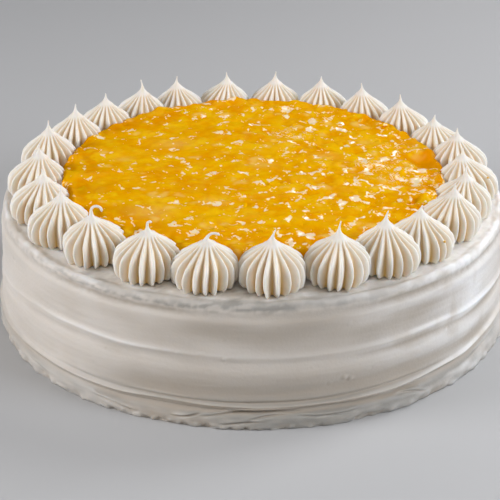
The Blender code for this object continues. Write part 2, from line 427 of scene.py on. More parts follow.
def fruit_group() -> bpy.types.NodeTree:
    """Crushed pineapple: yellow and orange blotches, painted shade, pale pulp, painted glints, wet
    surface.
    """
    values = ("Tint", "Hollow", "Pulp", "Broken", "Web", "Fibre Scale")
    sketch = GroupSketch("crushed_fruit", ("Flesh", "Deep", "Pale"), values, ("Height", "Wet"))
    given, mix, band, cloud = sketch.given, sketch.mix, sketch.band, sketch.cloud
    plus, less, times = sketch.plus, sketch.less, sketch.times
    stretch = {0: sketch.place, 1: (1.05, 0.85, 1.0)}
    drawn = sketch.add("VectorMath", stretch, operation="MULTIPLY").outputs[0]
    blotch = plus(cloud(drawn, 75.0, 2.0, 0.5), times(cloud(drawn, 170.0, 2.0, 0.8), 0.55))
    # The orange deepens in blotches, and with painted shade where the hollow mark is high.
    deep = plus(times(given["Hollow"], 0.6), times(less(0.79, blotch), 1.5))
    toned = mix(band(deep, 0.0, 1.0), given["Flesh"], given["Deep"])
    lit = mix(times(given["Tint"], band(blotch, 0.7, 1.0)), toned, opaque((0.88, 0.50, 0.004)))
    torn = cloud(drawn, 215.0, 2.0, 0.6, Roughness=0.55)
    gather = times(less(cloud(drawn, 105.0, 1.0, 0.5), 0.5), 0.35)
    grit = times(less(cloud(drawn, 620.0, 1.0, 0.4), 0.5), 0.30)
    sunk = times(band(given["Hollow"], 1.0, 1.4), 0.12)
    opened = less(plus(gather, times(given["Broken"], 0.10)), sunk)
    opened = plus(plus(torn, grit), opened)
    strand = sketch.maths("ABSOLUTE", less(cloud(drawn, 260.0, 1.5, 1.1), 0.5))
    net = times(less(1.0, band(strand, 0.015, 0.05)), band(torn, 0.40, 0.50))
    net = times(net, given["Web"])
    # Painted glints: the whitest middles of the most open scraps and of the net of fibres.
    painted_glints = sketch.maths("MAXIMUM", band(opened, 0.705, 0.745), times(net, 0.6))
    # Pale pulp scraps, which also stand in for glints, and the net of pale fibres.
    pale = sketch.maths("MAXIMUM", band(opened, 0.672, 0.705), times(net, 0.85))
    pulpy = mix(pale, mix(given["Pulp"], lit, given["Pale"]), opaque((0.97, 0.60, 0.22)))
    rough = plus(0.35, times(given["Broken"], 0.6))
    sketch.feed(sketch.result, {
        "Color": mix(painted_glints, pulpy, opaque((1.0, 0.75, 0.47))),
        "Height": times(cloud(drawn, given["Fibre Scale"], 2.0, 0.6), rough),
        "Wet": times(band(opened, 0.718, 0.76), 0.8),
    })
    return sketch.tree


def new_material(name: str) -> tuple[bpy.types.Material, NodeSketch, bpy.types.Node]:
    """Start a material.

    Args:
        name: its name.

    Returns:
        The material, its sketch and its Principled shader.
    """
    material = bpy.data.materials.new(name)
    material.use_nodes = True
    return material, NodeSketch(material.node_tree), material.node_tree.nodes["Principled BSDF"]


@dataclass(frozen=True)
class Finish:
    """A soft grained surface: the values for its shared group and those for its own shader.

    Light spreads under it by so many millimetres of red, green and blue. Every input of the group
    that has no value here reads the mesh's mark of its name.
    """

    name: str
    values: dict[str, Feed]
    shader: dict[str, float]
    grain_height: float
    spread: RGB

    def build(self, group: bpy.types.NodeTree) -> bpy.types.Material:
        """Make the material.

        Args:
            group: the shared node group, which may have a wet glaze among its outputs.

        Returns:
            The material.
        """
        material, sketch, shader = new_material(self.name)
        node = sketch.add("Group", node_tree=group)
        for name in [socket.name for socket in node.inputs]:
            known = name in self.values
            sketch.feed(node, {name: self.values[name] if known else sketch.mark(name.lower())})
        bumps = {"Distance": self.grain_height * MM, "Height": node.outputs["Height"]}
        normal = sketch.add("Bump", {"Strength": 1.0, **bumps}).outputs["Normal"]
        radius = tuple(reach * MM for reach in self.spread)
        feeds = {"Base Color": node.outputs["Color"], "Normal": normal, **self.shader}
        sketch.feed(shader, {**feeds, "Subsurface Radius": radius, "Subsurface Scale": 1.0})
        if "Wet" in node.outputs:
            sketch.feed(shader, {"Coat Weight": node.outputs["Wet"], "Coat Normal": normal})
        return material


FROSTING = Finish(
    name="frosting",
    values={
        # The second colour is the painted shade in creases and in bands at the front.
        "Cream": opaque((0.67, 0.62, 0.56)), "Furrow Shade": opaque((0.47, 0.415, 0.35)),
        "Mottle Scale": 45.0, "Grain Scale": 900.0,
    },
    shader={"Roughness": 0.5, "Specular IOR Level": 0.4, "Subsurface Weight": 0.45},
    grain_height=0.10,
    spread=(3.2, 2.6, 2.0),
)
PIPED = Finish(
    name="piped_cream",
    values={
        # The second colour is the warm painted shade in the star's furrows.
        "Cream": opaque((0.83, 0.795, 0.735)), "Furrow Shade": opaque((0.70, 0.435, 0.085)),
        "Mottle Scale": 160.0, "Grain Scale": 1400.0,
    },
    shader={"Roughness": 0.48, "Specular IOR Level": 0.4, "Subsurface Weight": 0.6},
    grain_height=0.05,
    spread=(2.4, 2.0, 1.5),
)
BED = Finish(
    name="pineapple_bed",
    values={
        # Deep is the orange of the blotches and of the painted shade in hollows.
        "Flesh": opaque((0.825, 0.405, 0.001)), "Deep": opaque((0.765, 0.283, 0.0)),
        "Pale": opaque((0.88, 0.52, 0.10)), "Fibre Scale": 180.0,
    },
    shader={
        "Roughness": 0.5, "Specular IOR Level": 0.0, "Subsurface Weight": 0.3,
        "Coat Roughness": 0.18, "Coat IOR": 1.4,
    },
    grain_height=0.30,
    spread=(1.2, 0.6, 0.1),
)
PIECES = replace(BED, name="pineapple_pieces")


# Frosted body


@dataclass(frozen=True)
class Net:
    """Places on the plain outline of the body, and the radius by which its side is unrolled."""

    bearing: np.ndarray
    radius: np.ndarray
    height: np.ndarray
    wall: float

    @cached_property
    def points(self) -> np.ndarray:
        """The places in space."""
        return spots(*on_circle(self.radius, self.bearing), self.height)

    @cached_property
    def along(self) -> np.ndarray:
        """How far round the unrolled side each place is."""
        return self.wall * np.radians(self.bearing)

    @cached_property
    def drift(self) -> np.ndarray:
        """How far the spreader's lines stray up or down."""
        return self.waves((0.7, (30.0, 30.0, math.inf), 3))

    def waves(self, *patterns: Wave) -> np.ndarray:
        """Patterns of unevenness at the places."""
        return waves(self.points, *patterns)


@dataclass(frozen=True)
class Belt:
    """A soft belt round the side: the height of its middle, its width, its strength by bearing."""

    level: float
    width: float
    strength: Curve

    def at(self, net: Net, base: np.ndarray | float = 0.0) -> np.ndarray:
        """The belt's strength at places, with its height measured from a base."""
        near = hump(net.height, base + self.level, self.width)
        return near * self.strength.around(net.bearing)


@dataclass(frozen=True)
class Ridge:
    """A spreader's line: where it runs, how proud it is, its slopes, the shade painted in its
    crease.
    """

    height: Curve
    proud: Curve
    above: float
    below: float
    crease: float = 0.0

    def shade(self, net: Net) -> np.ndarray:
        """How strongly painted shade darkens the crease right under the ridge.

        Args:
            net: places on the side.

        Returns:
            Strength of the painted shade, from 0 to about 1.
        """
        offset = net.height - net.drift - self.height.around(net.bearing)
        proud = np.clip(self.proud.around(net.bearing), 0.0, 1.5)
        return self.crease * proud * hump(offset, -1.5 * self.below, 1.3 * self.below)

    def relief(self, net: Net) -> np.ndarray:
        """How far the ridge stands out.

        Args:
            net: places on the side.

        Returns:
            Millimetres out of the side.
        """
        offset = net.height - net.drift - self.height.around(net.bearing)
        width = np.where(offset > 0.0, self.above, self.below)
        return self.proud.around(net.bearing) * hump(offset, 0.0, width)


@dataclass(frozen=True)
class Dot:
    """A pit, or with a negative depth a bump, on the side."""

    bearing: float
    height: float
    radius: float
    depth: float

    def relief(self, net: Net) -> np.ndarray:
        """The dot's relief, with a low lip round it.

        Args:
            net: places on the side.

        Returns:
            Millimetres out of the side.
        """
        here = net.wall * math.radians(self.bearing)
        distance = np.hypot(net.along - here, net.height - self.height) / self.radius
        return -self.depth * (hump(distance, 0.0, 1.0) - 0.35 * hump(distance, 1.5, 0.5))


@dataclass(frozen=True)
class Crease:
    """A curved fold near the foot, from one bearing and height to another, with a lip above."""

    start: tuple[float, float]
    end: tuple[float, float]
    bow: float
    depth: float
    width: float = 0.45

    def relief(self, net: Net) -> np.ndarray:
        """The fold's relief.

        Args:
            net: places on the side.

        Returns:
            Millimetres out of the side.
        """
        first = net.wall * math.radians(self.start[0])
        run = net.wall * math.radians(self.end[0]) - first
        share = np.clip((net.along - first) / run, 0.0, 1.0)
        level = self.start[1] + (self.end[1] - self.start[1]) * share
        level += self.bow * np.sin(math.pi * share)
        past = np.maximum(0.0, np.maximum(first - net.along, net.along - first - run))
        fade = np.sin(math.pi * np.clip(share, 0.04, 0.96)) ** 0.5 * hump(past, 0.0, 0.8)
        offset = (net.height - level) / self.width
        return self.depth * fade * (0.75 * hump(offset, 1.9, 1.6) - hump(offset, 0.0, 1.0))


@dataclass
class FrostedCake:
    """The whole cake's coat of frosting, spread with a long blade and left a little rough."""

    node: str = "frosted_cake"
    top: float = 53.8
    rim_radius: float = 111.8
    ledge_from: float = 84.0
    columns: int = 840
    row_step: float = 0.6
    fine_below: float = 14.5
    fine_step: float = 0.3
    ledge_step: float = 1.2
    wall: float = 115.5
    covered_radii: tuple[float, ...] = (20.0, 45.0, 65.0, 78.0)
    side_outline: tuple[tuple[float, float], ...] = (
        (108.6, 53.8), (110.4, 54.0), (111.7, 54.2), (112.9, 53.5), (113.7, 52.0), (114.0, 49.8),
        (114.4, 46.8), (115.0, 36.0), (115.2, 29.0), (115.8, 24.0), (116.3, 13.5), (116.6, 8.5),
        (117.7, 4.5), (117.9, 2.0), (117.3, 0.0),
    )
    upper_ridge: Ridge = Ridge(
        Curve({-120: 27, -85: 26.0, -70: 27.5, -52: 31.0, -30: 32.2, 0: 32.0, 35: 32.2, 65: 31.0,
               90: 32, 140: 33}),
        Curve({-150: 0.5, -85: 0.25, -60: 0.28, -38: 0.7, -23: 0.75, -4: 0.3, 6: 0.4, 40: 0.85,
               71: 0.9, 130: 0.6}),
        above=1.3, below=1.1,
    )
    lower_ridge: Ridge = Ridge(
        Curve({-140: 10.5, -70: 9.6, -35: 10.3, -15: 10.8, 0: 10.4, 30: 10.8, 50: 12.2, 68: 13.9,
               90: 13.0, 140: 10.8}),
        Curve({-140: 1.1, -70: 1.25, -20: 1.15, 0: 0.95, 20: 0.85, 45: 1.0, 70: 1.1}),
        # The crease value is the strength of the painted shade under this ridge.
        above=0.95, below=0.5, crease=1.15,
    )
    other_ridges: tuple[Ridge, ...] = (
        Ridge(
            Curve({-120: 24, -70: 24.5, -52: 28.0, -30: 29.4, 0: 29.3, 35: 28.8, 65: 27.4, 90: 28,
                   140: 30}),
            Curve({-150: -0.3, -60: -0.15, -30: -0.15, 0: -0.2, 35: -0.35, 70: -0.45, 130: -0.3}),
            above=0.9, below=1.5,
        ),
        Ridge(
            Curve({-130: 24, -60: 22.5, 0: 24.5, 60: 22.0, 120: 24.5}),
            Curve({-120: 0.3, -40: 0.15, 10: 0.3, 60: 0.35, 150: 0.3}),
            above=3.0, below=2.6,
        ),
        Ridge(
            Curve({-140: 15, -60: 14.5, 0: 15.5, 60: 16.5, 130: 15}),
            Curve({-120: -0.2, -45: -0.1, 15: -0.55, 40: -0.45, 100: -0.2}),
            above=3.0, below=2.4,
        ),
        Ridge(
            Curve({-140: 8, -70: 7.4, -35: 8.2, 0: 8.4, 30: 8.8, 50: 10.0, 68: 11.4, 90: 10.5,
                   140: 8.6}),
            Curve({-140: -0.5, -60: -0.6, -25: -0.9, 0: -1.5, 30: -1.8, 50: -1.3, 80: -0.7}),
            above=0.6, below=1.5,
        ),
        Ridge(
            Curve({-60: 12.2, -35: 12.7, -2: 12.3, 20: 12.8}),
            Curve({-60: 0.0, -40: 0.1, -33: 0.4, -6: 0.4, 2: 0.0, 60: 0.0, 150: 0.25}),
            above=0.5, below=0.5,
        ),
        Ridge(
            Curve({-60: 50.0, -30: 49.8, 0: 49.4, 40: 50.2, 80: 50.2}),
            Curve({-130: -0.3, -60: -0.25, -30: -0.5, -12: -0.35, 10: -0.2, 35: -0.45, 75: -0.6,
                   130: -0.3}),
            above=1.3, below=1.6,
        ),
        Ridge(
            Curve({-60: 46.8, 0: 46.6, 60: 46.4}),
            Curve({-130: 0.2, -30: 0.3, 30: 0.35, 70: 0.5, 130: 0.2}),
            above=1.4, below=2.6,
        ),
    )
    dots: tuple[Dot, ...] = (
        Dot(-63.0, 42.7, 1.1, 0.35), Dot(-5.5, 39.0, 0.55, 0.35), Dot(-1.5, 36.0, 0.5, 0.35),
        Dot(9.8, 36.0, 0.5, 0.3), Dot(-27.0, 42.7, 0.6, 0.35), Dot(19.3, 43.5, 0.9, -0.3),
        Dot(17.6, 43.2, 0.6, 0.2), Dot(-15.0, 32.0, 0.7, -0.45), Dot(-10.0, 32.8, 0.6, -0.45),
        Dot(-5.5, 31.0, 0.8, -0.6), Dot(-5.0, 29.6, 0.5, -0.3), Dot(18.4, 20.4, 1.0, -0.7),
        Dot(19.8, 19.3, 0.8, -0.6), Dot(18.9, 18.6, 0.5, 0.4), Dot(15.5, 18.5, 0.7, -0.5),
        Dot(-31.0, 26.5, 0.5, 0.3), Dot(-14.0, 17.5, 0.5, 0.25), Dot(44.0, 27.0, 0.7, -0.35),
    )
    stray_count: int = 90
    creases: tuple[Crease, ...] = (
        Crease((-9.5, 5.2), (9.0, 7.4), 1.8, 1.25), Crease((-1.0, 4.4), (7.0, 6.3), 0.9, 0.9),
        Crease((-15.5, 4.0), (-10.5, 6.2), -0.6, 1.1), Crease((-33.0, 4.6), (-24.0, 2.2), 0.6, 0.9),
        Crease((30.5, 6.8), (37.0, 4.0), 0.8, 1.0), Crease((15.0, 9.0), (30.0, 9.4), -0.9, 0.6),
        Crease((-6.0, 2.2), (2.0, 3.8), 0.5, 0.9), Crease((9.0, 5.8), (21.0, 5.2), -0.6, 0.9),
        Crease((-58.0, 5.0), (-47.0, 3.4), 0.5, 0.4), Crease((52.0, 6.6), (66.0, 8.0), 0.7, 0.45),
        Crease((96.0, 4.4), (108.0, 6.8), 0.8, 0.6), Crease((131.0, 6.6), (146.0, 4.8), 0.9, 0.7),
        Crease((-112.0, 5.2), (-98.0, 6.6), -0.7, 0.6),
        Crease((-168.0, 5.0), (-152.0, 6.4), 0.8, 0.7),
    )
    double_line: Curve = Curve({-60: 11.6, -35: 12.0, -12: 11.6, 5: 11.3, 30: 12.4, 60: 14.0})
    slit: Belt = Belt(0.2, 0.75, Curve({-180: 0.0, -48: 0.0, -35: 0.35, -12: 0.7, 5: 1.0, 30: 0.9,
                                        50: 0.0}))
    dragged: Belt = Belt(49.9, 2.2, Curve({-150: 0.3, -60: 0.35, -30: 1.0, -12: 0.7, 5: 0.25,
                                           30: 0.4, 55: 0.8, 100: 0.4}))
    # Strengths by bearing of painted shade: in the torn band under the rim, in the valley under the
    # lower ridge, above that ridge, and along the slit.
    torn: Belt = Belt(51.7, 1.9, Curve({-150: 0.3, -75: 0.3, -45: 0.8, -15: 1.0, 3: 0.9, 15: 0.45,
                                        60: 0.3, 110: 0.4}))
    valley: Belt = Belt(-3.6, 1.7, Curve({-150: 0.2, -60: 0.2, -30: 0.4, -8: 0.75, 8: 1.0,
                                          38: 1.0, 58: 0.6, 85: 0.25}))
    above: Belt = Belt(5.4, 4.4, Curve({-150: 0.0, -45: 0.0, -22: 0.5, -8: 0.8, 8: 1.0, 30: 0.9,
                                        48: 0.3, 65: 0.0}))
    groove: Belt = Belt(0.5, 1.0, Curve({-180: 0.0, -48: 0.0, -35: 0.5, -12: 0.8, 5: 1.0, 30: 1.0,
                                         50: 0.0}))
    # Bands of painted shade on the front of the side, the high one partly thinner cream.
    thin_and_shaded: Belt = Belt(43.0, 9.5, Curve({-150: 0.3, -55: 0.2, -28: 0.5, -12: 0.9, 5: 1.0, 25: 0.8,
                                        45: 0.3, 60: 0.1, 75: 0.4, 120: 0.3}))
    low: Belt = Belt(19.0, 8.0, Curve({-150: 0.1, -60: 0.2, -30: 0.35, -10: 0.85, 20: 1.0,
                                       42: 0.6, 70: 0.2}))
    # A painted highlight along the upper ridge.
    ridge_highlight: Belt = Belt(0.35, 0.6, Curve({-150: 0.2, -55: 0.15, -40: 0.65, -22: 0.9, -12: 0.2,
                                          30: 0.1, 60: 0.4}))
    # Painted shade at the foot and on the front of the rim's crest.
    foot_shade: Curve = Curve({-150: 0.45, -60: 0.55, -30: 0.5, -10: 0.6, 5: 0.85, 30: 0.85,
                              50: 0.6, 80: 0.45, 120: 0.45})
    rim_front_shade: Curve = Curve({-150: 0.1, -60: 0.1, -35: 0.2, -17: 0.45, 0: 0.65, 20: 0.6,
                               42: 0.15, 60: 0.0})
    # Whiter smears with painted light: rim and ledge lighter to the sides and back than at the
    # front, and the right front of the side lighter.
    rim_smear_and_light: Curve = Curve({-150: 0.7, -75: 0.85, -45: 0.8, -20: 0.35, 0: 0.3, 20: 0.7, 60: 1.0,
                              110: 0.8})
    ledge_painted_light: Curve = Curve({-150: 1.0, -60: 1.0, -20: 0.4, 0: 0.3, 22: 0.4, 50: 1.0})
    side_smear_and_light: Curve = Curve({-150: 0.1, -60: 0.0, -30: 0.1, 15: 0.0, 36: 0.55, 52: 0.8,
                               62: 0.3, 72: 0.0, 120: 0.1})

    @property
    def ridges(self) -> tuple[Ridge, ...]:
        """Every line of the side."""
        return self.upper_ridge, self.lower_ridge, *self.other_ridges

    def outline(self) -> tuple[np.ndarray, np.ndarray]:
        """The half outline of the top and side.

        Returns:
            Radii and heights of the rows, from the middle of the top out and down to the foot.
        """
        corners = np.array(self.side_outline)
        travelled = np.append(0.0, np.cumsum(np.hypot(*np.diff(corners, axis=0).T)))
        fine = travelled[-1] - self.fine_below
        coarse_rows = np.linspace(0.0, fine, int(fine / self.row_step), endpoint=False)
        fine_rows = np.linspace(fine, travelled[-1], int(self.fine_below / self.fine_step))
        rows = np.append(coarse_rows, fine_rows)
        radii, heights = (Curve(dict(zip(travelled, line))).at(rows) for line in corners.T)
        ledge = np.arange(self.ledge_from, corners[0, 0] - 0.6, self.ledge_step)
        flat = np.append(self.covered_radii, ledge)
        return np.append(flat, radii), np.append(np.full(len(flat), self.top), heights)

    def stray_dots(self) -> list[Dot]:
        """Small pits and bumps scattered over the side, where none is named.

        Returns:
            The dots.
        """
        draw = random.Random(21)
        dots = []
        for _ in range(self.stray_count):
            bearing = draw.uniform(-180.0, 180.0)
            size = draw.uniform(0.4, 0.8)
            depth = draw.choice((0.16, 0.22, -0.18, 0.14))
            dots.append(Dot(bearing, draw.uniform(14.0, 47.0), size, depth))
        return dots

    def relief(self, net: Net) -> np.ndarray:
        """How far the side stands out from its plain outline.

        Args:
            net: places on the outline.

        Returns:
            Millimetres along the outline's own normal.
        """
        side = ease((53.0 - net.height) / 3.0)
        lines = sum(ridge.relief(net) for ridge in self.ridges)
        lines *= 1.0 + net.waves((0.35, (22.0, 22.0, 60.0), 4))
        lines += net.waves((0.10, (26.0, 26.0, 1.7), 5), (0.05, (9.0, 9.0, 0.9), 6))
        lines += net.waves((0.03, 1.6, 16))
        lines += sum(dot.relief(net) for dot in (*self.dots, *self.stray_dots()))
        out = net.waves((0.45, 46.0, 1), (0.20, 17.0, 2)) * (0.35 + 0.65 * side) + side * lines
        pulled = np.maximum(0.0, net.waves((0.30, (4.0, 4.0, 1.1), 7)))
        out -= self.dragged.at(net) * (pulled + net.waves((0.18, 1.5, 8)))
        out += sum(crease.relief(net) for crease in self.creases)
        out -= 1.1 * self.slit.at(net, self.double_line.around(net.bearing))
        out += ease((9.0 - net.height) / 6.0) * net.waves((0.75, 17.0, 9), (0.40, 6.0, 10))
        return out + ease((4.0 - net.height) / 3.0) * net.waves((1.0, 4.5, 11), (0.55, 2.0, 12))

    def ledge_relief(self, net: Net) -> np.ndarray:
        """Smears on the level top and the uneven crest of the rim.

        Args:
            net: places on the outline.

        Returns:
            Millimetres upwards.
        """
        smear = np.abs(net.waves((0.5, 8.5, 13))) + net.waves((0.22, 3.2, 14))
        crest = hump(net.radius, self.rim_radius, 2.0)
        crest *= net.waves((0.55, 19.0, 15), (0.25, 6.0, 17))
        level = ease((net.height - 50.5) / 2.5)
        return level * (smear * ease((net.radius - 96.0) / 6.0) + crest)

    def painted_shade(self, net: Net) -> np.ndarray:
        """Painted shade, in grey: in the torn band under the rim, on the rim's front crest, round
        the lower ridge, along the slit, and at the foot.

        Args:
            net: places on the outline.

        Returns:
            Strength of the painted shade, from 0 to 1.
        """
        # Painted shade in the torn band under the rim.
        torn = ease(0.45 + net.waves((0.9, (5.0, 5.0, 1.6), 21), (0.5, 1.6, 22)))
        lift = 0.8 * hump(net.bearing, 0.0, 12.0) + net.waves((1.0, (14.0, 14.0, math.inf), 23))
        grey = 0.85 * torn * self.torn.at(net, lift)
        # Painted shade on the rim's crest, strongest at the front.
        crest = hump(net.radius, self.rim_radius, 3.2) * ease((net.height - 51.0) / 1.5)
        grey += crest * self.rim_front_shade.around(net.bearing)
        # Painted shade at the foot.
        foot = ease((13.0 - net.height) / 5.0) * self.foot_shade.around(net.bearing)
        grey += foot * (1.0 + net.waves((0.6, (8.0, 8.0, 2.5), 24)))
        # Painted shadow in the valley under the lower ridge, painted shade above it and along the
        # slit.
        ridge = self.lower_ridge.height.around(net.bearing)
        under = ridge + net.waves((0.8, (9.0, 9.0, 40.0), 25))
        grey += 0.75 * self.valley.at(net, under) + self.above.at(net, ridge)
        grey += self.groove.at(net, self.double_line.around(net.bearing))
        return np.clip(grey, 0.0, 1.0)

    def shade_in_creases_and_bands(self, net: Net, out: np.ndarray) -> np.ndarray:
        """Painted shade in creases and in bands at the front, the high band partly thinner cream.

        Args:
            net: places on the outline.
            out: how far the side stands out there.

        Returns:
            Strength of the painted shade, from 0 to 1.4.
        """
        # Painted shade where the side dips in, and in the crease under the lower ridge.
        shadowed = np.clip(-1.3 * np.minimum(out, 0.0), 0.0, 1.0)
        shadowed += sum(ridge.shade(net) for ridge in self.ridges if ridge.crease)
        # Bands of painted shade on the front, the high one partly thinner cream.
        patchy = ease(0.65 + net.waves((0.6, (30.0, 30.0, 9.0), 20)))
        shadowed += 0.95 * patchy * self.thin_and_shaded.at(net) + 0.7 * self.low.at(net)
        return np.clip(shadowed, 0.0, 1.4) * ease((52.5 - net.height) / 2.0)

    def smear_and_painted_light(self, net: Net) -> np.ndarray:
        """Where the last, whiter cream was smeared on the ledge, rim and side, with painted light
        there too.

        Args:
            net: places on the outline.

        Returns:
            Strength of the white smears and painted light, from 0 to 1.
        """
        around = spots(net.along, net.radius, net.height)
        patchy = 0.4 + waves(around, (1.1, (11.0, 4.0, 20.0), 18), (0.6, (5.0, 1.8, 9.0), 19))
        # Smears on the rim and a lighter ledge, with painted light: lighter to the sides and back
        # than at the front, the ledge lifted against the stars' shadow on it.
        ledge = ease((110.6 - net.radius) / 2.0)
        share = self.rim_smear_and_light.around(net.bearing)
        share = share + ledge * (1.0 - share) * 0.5
        base = 0.05 + 0.75 * ledge * self.ledge_painted_light.around(net.bearing)
        white = ease((net.height - 52.5) / 1.4) * (base + share * ease(patchy))
        # Painted light on the right front of the side, in smear patches.
        white += self.side_smear_and_light.around(net.bearing) * ease(patchy + 0.6)
        # A painted highlight along the upper ridge's crest.
        ridge = self.upper_ridge.height.around(net.bearing) + net.drift
        return np.clip(white + 0.8 * self.ridge_highlight.at(net, ridge), 0.0, 1.0)

    def build(self, finish: bpy.types.Material) -> None:
        """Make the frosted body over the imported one.

        Args:
            finish: the frosting's material.
        """
        radii, heights = self.outline()
        bearings = np.linspace(-180.0, 180.0, self.columns, endpoint=False)
        turn, radius = np.meshgrid(bearings, radii)
        net = Net(turn, radius, np.meshgrid(bearings, heights)[1], self.wall)
        slope = np.stack([np.gradient(radii), np.gradient(heights)], axis=-1)
        slope /= np.linalg.norm(slope, axis=-1, keepdims=True)
        out = self.relief(net) * ease((radius - 104.0) / 6.0)
        lifted = np.maximum(net.height + self.ledge_relief(net) + out * slope[:, :1], 0.0)
        lifted[net.height < 0.3] = 0.0
        rings = spots(*on_circle(radius - out * slope[:, 1:], turn), lifted)
        # Marks: painted shade in creases and front bands, whiter smears with painted light, and
        # painted grey shade.
        marks = {
            "furrow": self.shade_in_creases_and_bands(net, out)[::-1],
            "smear_and_painted_light": self.smear_and_painted_light(net)[::-1],
            "shadowed": self.painted_shade(net)[::-1],
        }
        coat = loft(rings[::-1], ((0.0, 0.0, 0.0), (0.0, 0.0, self.top)), marks)
        coat.place("frosting_coat", finish, Slot.FROSTING, self.node)


# Ring of piped stars


class TipStyle(Enum):
    """How a star's tip ends, with the radius of its end as a share of the star's."""

    PEAK = 0.02
    HOOK = 0.035
    LOOP = 0.038


@dataclass
class StarTip:
    """The thin tail that a star ends in, and how it bends over towards a bearing."""

    length: float
    sweep: float
    bend_from: float = 0.3
    bend_to: float = 1.0
    heading: float = 90.0
    style: TipStyle = TipStyle.PEAK

    def rings(self, start: np.ndarray, reach: np.ndarray, turn: np.ndarray) -> np.ndarray:
        """Walk along the tip and lay a ring of points round each step.

        Args:
            start: the middle of the neck.
            reach: radius of each ring.
            turn: bearing of each point of a ring before it tilts.

        Returns:
            Points of shape (rings, points round, 3).
        """
        heading = spots(*on_circle(1.0, self.heading))
        side = np.cross(heading, UP)
        share = np.arange(len(reach) + 1) / len(reach)
        bend = np.clip((share - self.bend_from) / (self.bend_to - self.bend_from), 0.0, 1.0)
        bend = np.radians(self.sweep * bend)
        along = np.outer(np.cos(bend), UP) + np.outer(np.sin(bend), heading)
        middles = start + np.cumsum(along[:-1], axis=0) * self.length / len(reach)
        facing = spots(*on_circle(1.0, turn))
        across = (facing @ heading)[:, None] * np.cross(along[1:], side)[:, None]
        aside = (facing @ side)[:, None] * side
        return middles[:, None] + (across + aside) * reach[:, None, None]


@dataclass(frozen=True)
class Nudge:
    """How one star differs from the even ring: its place, and its tip's lean and height."""

    outward: float = 0.0
    along: float = 0.0
    lean: float = 0.0
    taller: float = 0.0


